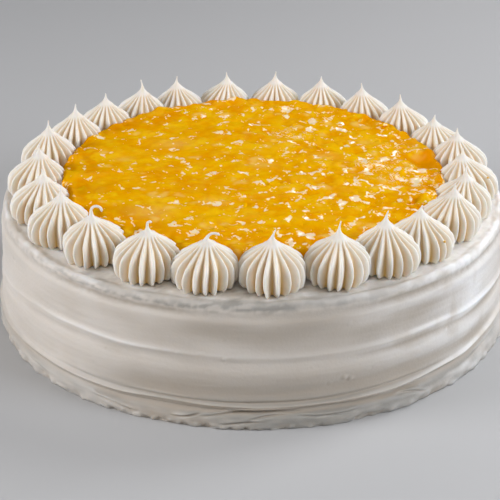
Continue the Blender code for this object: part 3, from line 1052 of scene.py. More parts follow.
@dataclass
class PipedStar:
    """One star: ridges that run up from separate toes to a smooth neck, then the tip."""

    number: int
    bearing: float
    ring_radius: float
    radius: float
    neck_height: float
    lean: np.ndarray
    ridge_turn: float
    tip: StarTip
    lump: float
    full: float
    ridges: int = 18
    per_ridge: int = 10
    body_rings: int = 34
    tip_rings: int = 18
    seat: float = 54.1
    sink: float = 0.5
    toe_lift: tuple[float, float] = (0.05, 0.6)
    toe_arch: float = 0.5
    neck_share: float = 0.24
    tip_taper: float = 2.6
    curled_taper: float = 1.9
    usual_tip: float = 5.7
    squeeze: float = 1.1
    swell: Curve = Curve({
        0.0: 0.83, 0.03: 0.88, 0.08: 0.925, 0.15: 0.965, 0.25: 0.995, 0.34: 1.0, 0.45: 0.98,
        0.55: 0.935, 0.62: 0.865, 0.70: 0.745, 0.787: 0.585, 0.871: 0.43, 0.955: 0.295, 1.0: 0.24,
    })
    furrow_depth: Curve = Curve({
        0.0: 0.20, 0.08: 0.24, 0.35: 0.265, 0.6: 0.26, 0.8: 0.23, 0.92: 0.16, 1.0: 0.02,
    })
    crest_edge: Curve = Curve({0.0: 0.65, 0.12: 0.85, 0.4: 0.95, 0.7: 0.85, 1.0: 0.7})

    @property
    def foot(self) -> np.ndarray:
        """The middle of the star's underside."""
        return spots(*on_circle(self.ring_radius, self.bearing), self.seat)

    def variation(self) -> dict[str, np.ndarray]:
        """How each ridge differs from its neighbours, then how the whole star does.

        Returns:
            Random values by name.
        """
        draw = np.random.default_rng(500 + self.number)
        return {
            "crest": draw.uniform(-0.035, 0.025, self.ridges),
            "toe": draw.uniform(-0.6, 0.6, self.ridges),
            "depth": draw.uniform(0.8, 1.15, self.ridges),
            "shift": draw.uniform(-2.4, 2.4, self.ridges),
            "curl": draw.uniform(-2.6, 2.6, self.ridges),
            "phase": draw.uniform(0.0, 6.28, 1),
            "twist": draw.uniform(-4.0, 6.0, 1),
        }

    def body(self) -> tuple[np.ndarray, np.ndarray]:
        """The rings of the ridged body.

        Returns:
            Points from the foot to the neck, and the painted shade of each, strongest in deep
            furrows low down.
        """
        vary = self.variation()
        share = np.linspace(0.0, 1.0, self.body_rings)[:, None] ** 0.92
        place = np.arange(self.ridges * self.per_ridge) / self.per_ridge
        ridge = np.round(place).astype(int) % self.ridges
        valley = np.floor(place).astype(int) % self.ridges
        between = 0.5 - 0.5 * np.cos(2.0 * math.pi * (place - np.round(place)))
        furrow = between ** self.crest_edge.at(share)
        blend = 1.0 - furrow
        depth = self.furrow_depth.at(share)
        crest = 1.0 + vary["crest"][ridge] * blend * (1.0 - 0.6 * share)
        swell = self.swell.at(share) + self.full * hump(share, 0.77, 0.17)
        reach = self.radius * swell * (crest - depth * vary["depth"][valley] * furrow)
        reach += vary["toe"][ridge] * blend * np.maximum(0.0, 1.0 - share / 0.16)
        curl = vary["curl"][ridge] * np.sin(2.0 * math.pi * share + vary["phase"])
        bearing = 360.0 * place / self.ridges + self.ridge_turn + vary["shift"][ridge] * blend
        bearing += curl * blend * (1.0 - share) + vary["twist"] * share
        aside = np.sin(np.radians(bearing - self.bearing)) ** 2
        lift = self.toe_lift[0] + self.toe_lift[1] * aside
        level = self.neck_height * share + lift * np.maximum(0.0, 1.0 - share / 0.35)
        level += self.toe_arch * furrow**2 * np.maximum(0.0, 1.0 - share / 0.12)
        leaning = self.foot + self.lean * share[..., None] ** 2
        # Painted shade in the furrows, stronger low down and where they are deep.
        shade = furrow**2 * (1.0 - 0.5 * share) * np.minimum(1.0, depth / 0.16)
        return spots(*on_circle(reach, bearing), level) + leaning, shade

    def tail(self) -> np.ndarray:
        """The rings of the tip, above the neck.

        Returns:
            Points of shape (rings, points round, 3).
        """
        taper = self.tip_taper * self.tip.length / self.usual_tip
        if self.tip.style is not TipStyle.PEAK:
            taper *= self.curled_taper
        share = np.arange(1, self.tip_rings + 1) / self.tip_rings
        end = self.tip.style.value
        reach = self.radius * (end + (self.neck_share - end) * (1.0 - share) ** taper)
        reach *= np.sqrt(np.maximum(0.0, 1.0 - np.maximum(0.0, share - 0.9) ** 2 * 90.0))
        around = self.ridges * self.per_ridge
        turn = self.ridge_turn + 360.0 * np.arange(around) / around
        return self.tip.rings(self.foot + self.lean + UP * self.neck_height, reach, turn)

    def lumped(self, points: np.ndarray) -> np.ndarray:
        """Push out an uneven lump on the star's right shoulder, as where the cream broke.

        Args:
            points: the star's points.

        Returns:
            The same points, moved where the lump is.
        """
        middle = self.foot + (self.radius * 0.72, -2.0, self.neck_height * 0.70)
        away = points - self.foot - UP * self.neck_height * 0.5
        away /= np.linalg.norm(away, axis=-1, keepdims=True)
        near = hump(np.linalg.norm(points - middle, axis=-1), 0.0, 3.4)
        ragged = 1.0 + waves(points, (0.9, 2.0, 40))
        return points + away * (self.lump * near * ragged)[..., None]

    def build(self, finish: bpy.types.Material, limits: list[tuple[np.ndarray, float]]) -> None:
        """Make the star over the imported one.

        Args:
            finish: the piped cream's material.
            limits: for each neighbour, the way to it and how far the star may reach that way.
        """
        body, furrow = self.body()
        tail = self.tail()
        points = np.concatenate([body, tail])
        if self.lump:
            points = self.lumped(points)
        points += waves(points, (0.10, 2.6, 41))[..., None] * (1.0, 1.0, 0.6)
        for way, limit in limits:
            excess = np.maximum(0.0, (points - self.foot) @ way - limit + self.squeeze)
            pushed = excess - self.squeeze * np.tanh(excess / self.squeeze)
            points -= pushed[..., None] * way
        ends = (self.foot - UP * self.sink, points[-1].mean(axis=0))
        # The furrow mark carries the painted shade of the furrows; the tip has none.
        marks = {"furrow": np.concatenate([furrow, np.zeros(tail.shape[:2])])}
        number = f"{self.number:02d}"
        star = loft(points, ends, marks)
        star.place(f"piped_cream_{number}", finish, Slot.PIPED_CREAM, f"piped_star_{number}")


@dataclass
class StarRing:
    """The ring of stars, piped one after another, each lapping a little over the one before."""

    count: int = 25
    first_bearing: float = 188.4
    ring_radius: float = 96.9
    star_radius: float = 13.5
    front_swell: float = 0.4
    neck_height: float = 18.2
    tip_length: float = 5.9
    lap: tuple[float, float] = (0.9, 0.1)
    stray: tuple[tuple[int, float, float], ...] = (
        (1, 2.17, 173.5), (2, 1.68, 17.7), (3, 0.62, 300.8), (4, 0.9, 45.7),
    )
    named_tips: dict[int, StarTip] = field(default_factory=lambda: {
        10: StarTip(11.2, 200.0, bend_from=0.32, style=TipStyle.LOOP),
        11: StarTip(6.5, 150.0, bend_from=0.6, style=TipStyle.LOOP),
        12: StarTip(8.6, 125.0, bend_from=0.12, bend_to=0.9, style=TipStyle.HOOK),
        13: StarTip(6.6, 35.0, bend_from=0.2),
        14: StarTip(7.2, 15.0),
    })
    nudges: dict[int, Nudge] = field(default_factory=lambda: {
        1: Nudge(along=0.6, lean=1.9), 2: Nudge(lean=-1.5), 3: Nudge(lean=1.4, taller=1.0),
        5: Nudge(lean=0.8), 6: Nudge(1.2, 0.0, 0.4, 1.2), 7: Nudge(1.8, 0.0, 2.1, -1.0),
        8: Nudge(outward=1.8, lean=1.9), 9: Nudge(outward=1.8, lean=1.2),
        10: Nudge(lean=-1.4, taller=-0.6), 11: Nudge(along=1.0, lean=0.6),
        12: Nudge(0.0, 0.3, 0.8, -1.0), 15: Nudge(0.0, -0.5, -0.9, 0.8),
        16: Nudge(0.0, -1.5, -0.9, -0.9), 17: Nudge(outward=-0.8, lean=1.8),
        18: Nudge(-1.4, 0.0, 1.3, -1.2), 19: Nudge(1.6, 0.0, -4.0, -2.0),
        20: Nudge(outward=1.1, lean=-1.8), 21: Nudge(lean=-1.6, taller=-2.0),
        22: Nudge(along=1.0, lean=-2.4), 23: Nudge(along=1.6, lean=-1.9),
        24: Nudge(along=0.6, lean=-1.1), 25: Nudge(taller=0.8),
    })
    lumpy: dict[int, float] = field(default_factory=lambda: {21: 1.3})
    shoulders: dict[int, float] = field(default_factory=lambda: {
        10: 0.03, 11: 0.04, 12: 0.05, 13: 0.09, 14: 0.07, 15: -0.02, 16: -0.03, 17: -0.03,
    })

    def bearing(self, index: int) -> float:
        """Where a star stands: even spacing, and the slow waves by which a hand strays from it.

        Args:
            index: the star's place in the order of piping, from 0.

        Returns:
            Its bearing.
        """
        turn = 360.0 * index / self.count
        shifts = (far * math.cos(math.radians(laps * turn - lag)) for laps, far, lag in self.stray)
        return self.first_bearing + turn + sum(shifts)

    def stars(self) -> list[PipedStar]:
        """Draw every star of the ring.

        Returns:
            The stars, in the order in which they were piped.
        """
        draw = random.Random(11)
        made = []
        for number in range(1, self.count + 1):
            nudge = self.nudges.get(number, Nudge())
            bearing = self.bearing(number - 1) + nudge.along
            swell = self.front_swell * math.cos(math.radians(bearing))
            tip = StarTip(
                length=self.tip_length + draw.uniform(-0.8, 0.8),
                sweep=draw.uniform(0.0, 25.0),
                heading=draw.uniform(0.0, 360.0),
            )
            star = PipedStar(
                number=number,
                bearing=bearing,
                ring_radius=self.ring_radius + nudge.outward,
                radius=self.star_radius + swell + draw.uniform(-0.15, 0.15),
                neck_height=self.neck_height + draw.uniform(-0.6, 0.6) + 0.5 * nudge.taller,
                lean=np.array((draw.uniform(-0.8, 0.8), draw.uniform(-0.6, 0.6), 0.0)),
                ridge_turn=draw.uniform(0.0, 360.0 / PipedStar.ridges),
                tip=self.named_tips.get(number, tip),
                lump=self.lumpy.get(number, 0.0),
                full=self.shoulders.get(number, 0.0),
            )
            star.tip.length += 0.5 * nudge.taller
            if number in self.nudges:
                star.lean[0] = nudge.lean
            made.append(star)
        return made

    def build(self, finish: bpy.types.Material) -> list[PipedStar]:
        """Make all the stars.

        Args:
            finish: the piped cream's material.

        Returns:
            The stars.
        """
        stars = self.stars()
        for index, star in enumerate(stars):
            limits = []
            for other, lap in zip((stars[index - 1], stars[(index + 1) % self.count]), self.lap):
                between = other.foot - star.foot
                gap = np.linalg.norm(between)
                limits.append((between / gap, gap / 2.0 + lap))
            star.build(finish, limits)
        return stars


# Crushed pineapple


class ReliefMap:
    """A square map of heights in millimetres, on which pieces are stamped."""

    def __init__(self, reach: float, pitch: float) -> None:
        """Start flat.

        Args:
            reach: half the map's width.
            pitch: the distance between its points.
        """
        self.reach = reach
        self.pitch = pitch
        self.count = int(2.0 * reach / pitch) + 1
        line = -reach + pitch * np.arange(self.count)
        self.x, self.y = np.meshgrid(line, line)
        self.places = spots(self.x, self.y)
        self.height, self.tint, self.pulp, self.web = np.zeros((4, self.count, self.count))
        self.ragged = waves(self.places, (0.45, 2.6, 66), (0.25, 1.2, 67))

    def window(self, x: float, y: float, reach: float) -> tuple[slice, slice]:
        """Find the part of the map round a place.

        Args:
            x: the place across.
            y: the place up.
            reach: how far the part goes each way.

        Returns:
            Its rows and columns.
        """
        span = int(2.0 * reach / self.pitch) + 2
        lows = (int((value - reach + self.reach) / self.pitch) for value in (y, x))
        return tuple(slice(max(0, low), max(0, low + span)) for low in lows)

    def soften(self, passes: int) -> None:
        """Let heights and colours run into their neighbours, as under a thick glaze.

        Args:
            passes: how many times.
        """
        for values in passes * (self.height, self.tint, self.pulp):
            for axis in (0, 1):
                beside = np.roll(values, 1, axis) + np.roll(values, -1, axis)
                values[:] = 0.5 * values + 0.25 * beside

    def sample(self, values: np.ndarray, x: np.ndarray, y: np.ndarray) -> np.ndarray:
        """Read a map between its points.

        Args:
            values: the map's values.
            x: places across.
            y: places up.

        Returns:
            One value for each place.
        """
        across, up = (
            np.clip((place + self.reach) / self.pitch, 0.0, self.count - 1.001) for place in (x, y)
        )
        column, row = across.astype(int), up.astype(int)
        right, top = across - column, up - row
        low = values[row, column] * (1.0 - right) + values[row, column + 1] * right
        high = values[row + 1, column] * (1.0 - right) + values[row + 1, column + 1] * right
        return low * (1.0 - top) + high * top


@dataclass(frozen=True)
class FruitPiece:
    """One bit of crushed pineapple: where it lies, its size and turn, and its colour."""

    x: float
    y: float
    length: float
    width: float
    height: float
    turn: float
    tint: float
    pulp: float

    def stamp(self, relief: ReliefMap) -> None:
        """Press the piece's rounded top, with its fibres, into a map.

        Args:
            relief: the map.
        """
        here = relief.window(self.x, self.y, self.length)
        x, y = relief.x[here] - self.x, relief.y[here] - self.y
        cosine, sine = math.cos(self.turn), math.sin(self.turn)
        along, across = x * cosine + y * sine, y * cosine - x * sine
        bent = across + 0.10 * along * along / self.length
        inside = (np.abs(along) / self.length) ** 2.6 + (np.abs(bent) / self.width) ** 2.6
        inside += relief.ragged[here]
        dome = np.sqrt(np.clip(1.0 - inside, 0.0, 1.2)) * (inside < 1.0)
        top = dome * (self.height + 0.07 * np.sin(6.0 * bent + 3.0 * self.tint + 0.6 * along))
        wins = top > relief.height[here]
        maps = (relief.height, relief.tint, relief.pulp)
        for values, new in zip(maps, (top, self.tint, self.pulp)):
            values[here] = np.where(wins, new, values[here])


@dataclass
class CrushedPineapple:
    """The layer of crushed pineapple in its own thickened juice, inside the ring of stars."""

    stars: list[PipedStar]
    node: str = "pineapple_topping"
    reach: float = 90.8
    edge_by_bearing: Curve = Curve({
        -178: 89.4, -140: 88.4, -110: 87.2, -75: 87.0, -45: 88.8, 0: 90.3, 45: 89.2, 75: 87.4,
        110: 87.2, 145: 88.6,
    })
    top: float = 65.0
    crown: float = 0.1
    shoulder: float = 63.4
    shoulder_width: float = 1.8
    foot: float = 53.9
    cells: int = 272
    drops: int = 5
    tuck: float = 3.2
    back_rise: float = 0.9
    map_pitch: float = 0.4
    map_margin: float = 3.0
    juice_softness: float = 0.25
    pieces: int = 2600
    loose: int = 60
    nest: tuple[float, float] = (18.7, 42.1)
    tangle: tuple[float, float] = (69.0, -8.0)
    # A dip in the bed, where painted shade deepens the orange.
    hollow: tuple[float, float] = (78.0, 7.5)
    heaps: tuple[tuple[float, float, float, float], ...] = (
        (-9.0, 85.0, 1.6, 5.0), (-49.0, 72.0, 1.3, 5.5), (-20.0, 83.0, 0.9, 5.0),
        (49.0, 73.0, 1.0, 5.0), (66.0, 54.0, 1.1, 4.5), (81.0, 19.0, 1.2, 4.0),
        (-78.0, 33.0, 0.9, 5.0), (25.0, 83.0, 0.7, 6.0),
    )
    webs: tuple[tuple[float, float, float, float], ...] = (
        (58.0, 0.0, 11.0, 9.0), (70.0, -11.0, 13.0, 9.0), (80.0, -19.0, 6.0, 7.0),
        (69.0, 22.0, 6.0, 7.0), (18.7, 42.1, 7.5, 6.0),
    )
    specks: tuple[tuple[tuple[float, float, float], tuple[float, float, float]], ...] = (
        ((78.0, -76.1, 63.9), (0.85, -0.06, 0.52)), ((105.1, -13.5, 65.7), (0.67, 0.05, 0.74)),
    )
    pale_patches: tuple[tuple[float, float, float], ...] = (
        (-37.2, 26.9, 7.0), (-43.6, -51.0, 7.5), (-16.4, -40.3, 5.0), (3.0, 2.0, 5.5),
        (33.0, 12.0, 5.0), (-60.0, 8.0, 4.0), (52.0, 30.0, 4.5),
    )

    def edge(self, bearings: np.ndarray) -> np.ndarray:
        """How far the layer reaches: to its own edge, or into the foot of a star.

        Args:
            bearings: where the edge is wanted.

        Returns:
            One radius for each bearing.
        """
        border = spots(*on_circle(self.reach, bearings))
        reach = self.edge_by_bearing.around(bearings) + waves(border, (0.9, 7.0, 69)) - 0.3
        for star in self.stars:
            aside, back = on_circle(star.ring_radius, bearings - star.bearing)
            touch = star.radius * 0.985 - self.tuck
            inside = np.sqrt(np.maximum(0.0, touch * touch - aside * aside))
            near = (back < 0.0) & (np.abs(aside) < touch)
            reach = np.where(near, np.minimum(reach, -back - inside), reach)
        return reach

    def roughness_at(self, x: np.ndarray | float, y: np.ndarray | float) -> np.ndarray:
        """How broken the surface is: smooth at the left, rough at the right.

        Args:
            x: places across.
            y: places up.

        Returns:
            The roughness, highest in the tangle and lowest in the hollow.
        """
        rough = 0.30 + 0.45 * ease((x + 70.0) / 130.0) + 0.35 * mound(x, y, self.tangle, 24.0, 24.0)
        return rough + 0.3 * mound(x, y, self.nest, 9.0, 7.0) - mound(x, y, self.hollow, 6.0, 9.0)

    def surface(self, relief: ReliefMap, x: np.ndarray, y: np.ndarray) -> np.ndarray:
        """Height of the layer: level out to a rounded shoulder, with swells, heaps and a hollow.

        Args:
            relief: the map of sunken pieces.
            x: places across.
            y: places up.

        Returns:
            One height for each place.
        """
        radius = np.hypot(x, y)
        edge = self.edge(np.degrees(np.arctan2(x, -y)))
        inward = np.clip((edge - radius) / self.shoulder_width, 0.0, 1.0)
        crown = self.top + self.crown * (1.0 - (radius / self.reach) ** 2)
        height = self.shoulder + (crown - self.shoulder) * np.sin(inward * math.pi / 2.0) ** 0.8
        places = spots(x, y)
        swell = waves(places, (0.5, 24.0, 60), (0.65, (9.0, 7.0, 9.0), 61))
        swell += self.back_rise * ease((y - 50.0) / 35.0)
        heaped = hump(radius - edge, -4.0, 4.0) * gradient_noise(places, 6.5, 68)
        lumps = 1.6 * np.maximum(heaped, -0.3)
        for *centre, tall, size in self.heaps:
            lumps += tall * mound(x, y, centre, size, size)
        height += swell * (0.3 + 0.7 * inward) + lumps * (0.7 + 0.3 * inward)
        height -= 2.6 * mound(x, y, self.hollow, 4.5, 7.5) * inward
        return height + relief.sample(relief.height, x, y) * (0.45 + 0.55 * inward) - 0.6

    def scattered(self, count: int, seed: int, size: tuple[float, float]) -> list[FruitPiece]:
        """Draw pieces over the whole layer.

        Args:
            count: how many.
            seed: the draw's seed.
            size: the least and the greatest half length.

        Returns:
            The pieces, large and small mixed.
        """
        draw = random.Random(seed)
        made = []
        for _ in range(count):
            radius = self.reach * math.sqrt(draw.random())
            x, y = on_circle(radius, draw.uniform(0.0, 360.0))
            length = size[0] + (size[1] - size[0]) * draw.random() ** 1.8
            made.append(FruitPiece(
                x=x,
                y=y,
                length=length,
                width=length * draw.uniform(0.40, 0.75),
                height=draw.uniform(0.4, 1.5) * (0.4 + 0.5 * self.roughness_at(x, y)),
                turn=draw.uniform(0.0, math.pi),
                tint=draw.random(),
                pulp=0.9 if draw.random() < 0.05 else 0.10 * draw.random() ** 3,
            ))
        return made

    def relief_map(self) -> ReliefMap:
        """Stamp the sunken pieces and let the juice fill between them.

        Returns:
            The map, with its net of pale fibres.
        """
        relief = ReliefMap(self.reach + self.map_margin, self.map_pitch)
        for piece in self.scattered(self.pieces, 31, (1.5, 4.6)):
            piece.stamp(relief)
        relief.soften(3)
        places = relief.places
        rough = self.roughness_at(relief.x, relief.y)
        juice = 0.30 + waves(places, (0.22, 13.0, 62)) + 0.25 * (0.8 - rough)
        gap = relief.height - juice
        relief.height = juice + 0.5 * (gap + np.hypot(gap, self.juice_softness))
        relief.height += waves(places, (0.14, 2.1, 63), (0.06, 1.0, 64)) * rough
        for *centre, size in self.pale_patches:
            near = mound(relief.x, relief.y, centre, size, 0.7 * size)
            relief.pulp += 0.75 * near * (0.75 + 0.5 * relief.ragged)
        relief.pulp = np.clip(relief.pulp, 0.0, 1.0)
        # A net of pale fibres, partly pulp and partly painted highlight.
        areas = [mound(relief.x, relief.y, web[:2], *web[2:]) for web in self.webs]
        gaps = ease(0.75 + waves(places, (1.3, 5.0, 83)))
        relief.web = gaps * ease(1.7 * np.max(areas, axis=0))
        return relief

    def disc(self) -> tuple[np.ndarray, np.ndarray]:
        """A square net drawn out into a disc, so that its cells stay even.

        Returns:
            Bearing, and share of the way to the edge, of each point of the net.
        """
        line = np.linspace(-1.0, 1.0, self.cells + 1)
        a, b = np.meshgrid(line, line)
        wide = np.abs(a) > np.abs(b)
        share, other = np.where(wide, (a, b), (b, a))
        turn = math.pi / 4.0 * other / np.where(share == 0.0, 1.0, share)
        angle = np.where(wide, turn, math.pi / 2.0 - turn)
        x, y = share * np.cos(angle), share * np.sin(angle)
        return np.degrees(np.arctan2(x, -y)), np.hypot(x, y)

    def skirt(self, points: np.ndarray, rim: np.ndarray) -> tuple[np.ndarray, list]:
        """The bed's uneven wall, down from its rim to the cake, and its flat underside.

        Args:
            points: the bed's points.
            rim: the numbers of those on its rim, anticlockwise.

        Returns:
            The new points, and the faces.
        """
        share = np.arange(1, self.drops + 1)[:, None] / self.drops
        wall = np.repeat(points[rim][None], self.drops, axis=0)
        wall[..., 2] += (self.foot - wall[..., 2]) * share
        bulge = waves(wall, (0.35, 3.0, 65)) * np.sin(math.pi * share)
        outward = wall[..., :2] / np.linalg.norm(wall[..., :2], axis=-1, keepdims=True)
        wall[..., :2] += outward * bulge[..., None]
        here = np.append(rim, len(points) + np.arange(self.drops * len(rim)))
        here = here.reshape(self.drops + 1, -1)
        ahead = np.roll(here, -1, axis=1)
        quads = np.stack([here[:-1], here[1:], ahead[1:], ahead[:-1]], axis=-1).reshape(-1, 4)
        middle = np.full(len(rim), len(points) + wall[..., 0].size)
        floor = np.stack([ahead[-1], here[-1], middle], axis=-1)
        under = np.append(wall, (0.0, 0.0, self.foot)).reshape(-1, 3)
        return under, quads.tolist() + floor.tolist()

    def build_bed(self, relief: ReliefMap, finish: bpy.types.Material) -> None:
        """Make the bed: the whole layer down to the cake, with its sunken pieces in relief.

        Args:
            relief: the map of sunken pieces.
            finish: the pineapple's material.
        """
        bearing, share = self.disc()
        inner = self.reach - 6.0
        outer = (self.edge(bearing) - inner) * ease((share - 0.55) / 0.45)
        radius = share * (inner + outer)
        x, y = on_circle(radius, bearing)
        points = spots(x, y, self.surface(relief, x, y)).reshape(-1, 3)
        net = np.arange(len(points)).reshape(x.shape)
        cells = np.stack([net[:-1, :-1], net[:-1, 1:], net[1:, 1:], net[1:, :-1]], axis=-1)
        rim = np.concatenate([net[0, :-1], net[:-1, -1], net[-1, :0:-1], net[:0:-1, 0]])
        under, skirt = self.skirt(points, rim)
        tint, pulp, web, raised = (
            relief.sample(values, x, y)
            for values in (relief.tint, relief.pulp, relief.web, relief.height)
        )
        # The hollow mark is painted shade: the orange deepens where the bed is low, in the dip and
        # towards the edge.
        dip = mound(x, y, self.hollow, 5.0, 8.0)
        hollow = np.clip(0.95 - 0.8 * raised, 0.0, 1.0) + 1.3 * dip
        hollow = np.clip(hollow + 0.45 * ease((radius - 62.0) / 24.0), 0.0, 1.6)
        over_and_under = {
            "broken": (self.roughness_at(x, y), 0.5),
            "web": (web, 0.0),
            "tint": (tint, 0.2),
            "pulp": (0.8 * pulp * (1.0 - dip), 0.0),
            "hollow": (hollow, 0.9),
        }
        marks = {
            mark: np.append(over, np.full(len(under), below))
            for mark, (over, below) in over_and_under.items()
        }
        bed = Form(np.append(points, under, axis=0), cells.reshape(-1, 4).tolist() + skirt, marks)
        bed.place("pineapple_bed", finish, Slot.PINEAPPLE, self.node)

    def inside(self, x: float, y: float, margin: float) -> bool:
        """Whether a place lies within the layer by a margin."""
        edge = self.edge(np.array([math.degrees(math.atan2(x, -y))]))[0]
        return math.hypot(x, y) < edge - margin

    def build_loose(self, relief: ReliefMap, finish: bpy.types.Material) -> None:
        """Make the pieces that stand proud of the bed, as one joined mesh.

        Args:
            relief: the map of sunken pieces, on which they lie.
            finish: the pineapple's material.
        """
        draw = random.Random(47)
        shape, faces = rounded_block(5)
        blocks, lying = [], []
        for number, piece in enumerate(self.scattered(self.loose * 3, 43, (1.3, 3.9))):
            x, y, wide = piece.x, piece.y, piece.width
            if len(lying) >= self.loose:
                break
            if draw.random() > self.roughness_at(x, y) or not self.inside(x, y, 1.2):
                continue
            size = np.array((piece.length, wide, wide * draw.uniform(0.35, 0.6)))
            tilt = Matrix.Rotation(draw.gauss(0.0, 0.28), 3, "X")
            tilt = tilt @ Matrix.Rotation(draw.gauss(0.0, 0.22), 3, "Y")
            spin = Matrix.Rotation(piece.turn * 1.6, 3, "Z") @ tilt
            block = shape * size
            ragged = [gradient_noise(block + number * 9.0, 1.8, 70 + axis) for axis in range(3)]
            block = block + 0.22 * wide * np.stack(ragged, axis=-1)
            fibre = 0.06 * np.sin(7.0 * block[:, 1] + number)
            block = block @ np.array(spin).T + spots(0.0, 0.0, fibre)
            level = self.surface(relief, np.array([x]), np.array([y]))[0]
            blocks.append(block + (x, y, level - draw.uniform(0.5, 0.9) * size[2]))
            lying.append(piece)
        # The hollow mark adds a little painted shade.
        marks = {
            "broken": 0.8,
            "tint": [piece.tint for piece in lying],
            "pulp": [0.6 * piece.pulp for piece in lying],
            "hollow": 0.1,
        }
        pieces = joined(blocks, faces, marks)
        pieces.place("pineapple_pieces", finish, Slot.PINEAPPLE, self.node)

    def build_specks(self, finish: bpy.types.Material) -> None:
        """Make the two tiny bits of fruit that stuck to the stars at the right.

        Args:
            finish: the pineapple's material.
        """
        shape, faces = rounded_block(3)
        blocks = []
        for number, (place, outward) in enumerate(self.specks):
            block = shape * (0.6, 0.45, 0.5)
            block = block + waves(block + 5.0 * number, (0.25, 0.9, 75))[:, None] * block
            blocks.append(block + np.array(place) - 0.15 * np.array(outward))
        # The hollow mark adds a little painted shade.
        specks = joined(blocks, faces, {"pulp": 0.95, "hollow": 0.3})
        specks.place("pineapple_specks", finish, Slot.PINEAPPLE)

    def build(self, bed: bpy.types.Material, pieces: bpy.types.Material) -> None:
        """Make the bed, the loose pieces and the specks.

        Args:
            bed: the bed's material.
            pieces: the material of the loose pieces and the specks.
        """
        relief = self.relief_map()
        self.build_bed(relief, bed)
        self.build_loose(relief, pieces)
        self.build_specks(pieces)


# Studio


class LightRole(Enum):
    """What a light is for."""

    KEY = "key"
    OVERHEAD = "overhead"
    SIDE = "side"
    FILL = "fill"
    GLINT = "glint"


@dataclass(frozen=True)
class SoftLight:
    """A square panel of light aimed at the cake, in metres and watts."""

    role: LightRole
    place: tuple[float, float, float]
    size: float
    watts: float
    colour: RGB = (1.0, 1.0, 1.0)
    gloss_only: bool = False
    aim: tuple[float, float, float] = (0.0, 0.0, 0.05)

    def build(self, number: int) -> None:
        """Place the light.

        Args:
            number: tells lights of one role apart.
        """
        light = bpy.data.lights.new(f"{self.role.value}_{number}", "AREA")
        light.shape = "SQUARE"
        light.size = self.size
        light.energy = self.watts
        light.color = self.colour
        lamp = add_object(light.name, light)
        lamp.location = self.place
        lamp.visible_diffuse = not self.gloss_only
        way = Vector(self.aim) - Vector(self.place)
        lamp.rotation_euler = way.to_track_quat("-Z", "Y").to_euler()


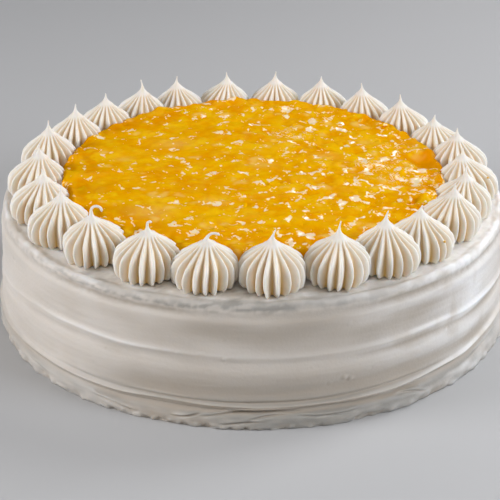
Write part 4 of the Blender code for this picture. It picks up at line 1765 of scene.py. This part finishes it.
@dataclass
class Studio:
    """Floor, lights and camera, with lengths in metres."""

    distance: float = 0.6365
    elevation: float = 24.26
    focal_pixels: float = 1374.9
    picture: float = 500.0
    axis_pixel: tuple[float, float] = (253.1, 206.1)
    roll: float = 0.30
    target: tuple[float, float, float] = (0.0, 0.0, 0.045)
    sensor: float = 36.0
    nearest: float = 0.01
    floor_reach: float = 4.0
    floor_level: float = -0.0001
    floor_tones: tuple[RGB, RGB] = ((0.50, 0.50, 0.50), (0.48, 0.48, 0.48))
    ambient: float = 0.05
    lights: tuple[SoftLight, ...] = (
        SoftLight(LightRole.KEY, (0.75, 0.45, 0.90), 0.40, 4.4, (0.99, 1.0, 1.02)),
        SoftLight(LightRole.OVERHEAD, (0.0, 0.0, 1.5), 0.9, 1.7),
        SoftLight(LightRole.SIDE, (-1.35, -0.35, 0.50), 0.6, 15.5, (1.0, 1.0, 1.04)),
        SoftLight(LightRole.SIDE, (1.22, -0.58, 0.65), 0.6, 12.0, (0.95, 1.0, 1.10)),
        SoftLight(LightRole.FILL, (0.0, -1.05, 1.20), 0.7, 4.8, (1.0, 0.94, 0.85)),
        SoftLight(LightRole.FILL, (1.2, 0.6, 0.5), 0.6, 4.0, (0.95, 1.0, 1.09)),
        SoftLight(LightRole.GLINT, (0.35, 1.15, 0.75), 0.34, 5.5, (1.0, 0.89, 0.86), True),
    )

    def build_camera(self) -> None:
        """A camera at the photograph's angle, distance and framing."""
        data = bpy.data.cameras.new("camera")
        data.sensor_width = self.sensor
        data.lens = self.focal_pixels * self.sensor / self.picture
        data.shift_x = (self.picture / 2.0 - self.axis_pixel[0]) / self.picture
        data.shift_y = (self.axis_pixel[1] - self.picture / 2.0) / self.picture
        data.clip_start = self.nearest
        camera = add_object("camera", data)
        tilt = math.radians(self.elevation)
        back = Vector((0.0, -math.cos(tilt), math.sin(tilt)))
        camera.location = Vector(self.target) + back * self.distance
        level = back.to_track_quat("Z", "Y").to_matrix()
        turned = level @ Matrix.Rotation(math.radians(self.roll), 3, "Z")
        camera.rotation_euler = turned.to_euler()
        bpy.context.scene.camera = camera

    def build_floor(self) -> None:
        """A plain pale floor, level with the underside of the cake."""
        mesh = bpy.data.meshes.new("floor")
        sides = ((-1.0, -1.0), (1.0, -1.0), (1.0, 1.0), (-1.0, 1.0))
        reach = self.floor_reach
        corners = [(reach * x, reach * y, self.floor_level) for x, y in sides]
        mesh.from_pydata(corners, [], [(0, 1, 2, 3)])
        material, sketch, shader = new_material("floor_paint")
        grain = sketch.add("TexNoise", {"Scale": 3.0, "Detail": 2.0}).outputs["Fac"]
        tone = sketch.mix(grain, *(opaque(part) for part in self.floor_tones))
        sketch.feed(shader, {"Base Color": tone, "Roughness": 0.8})
        mesh.materials.append(material)
        floor = add_object("floor", mesh)

    def build(self) -> None:
        """Set up the picture."""
        self.build_camera()
        self.build_floor()
        for number, light in enumerate(self.lights, start=1):
            light.build(number)
        scene = bpy.context.scene
        scene.world = bpy.data.worlds.new("studio")
        scene.world.use_nodes = True
        sky = scene.world.node_tree.nodes["Background"]
        sky.inputs["Color"].default_value = opaque((self.ambient,) * 3)
        scene.view_settings.view_transform = "Standard"
        scene.view_settings.look = "None"


def main() -> None:
    """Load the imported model, dress each sub-assembly in order, and light it."""
    logging.basicConfig(level=logging.INFO, format="%(name)s: %(message)s")
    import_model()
    cream, fruit = cream_group(), fruit_group()
    FrostedCake().build(FROSTING.build(cream))
    stars = StarRing().build(PIPED.build(cream))
    CrushedPineapple(stars).build(BED.build(fruit), PIECES.build(fruit))
    Studio().build()


if __name__ == "__main__":
    main()
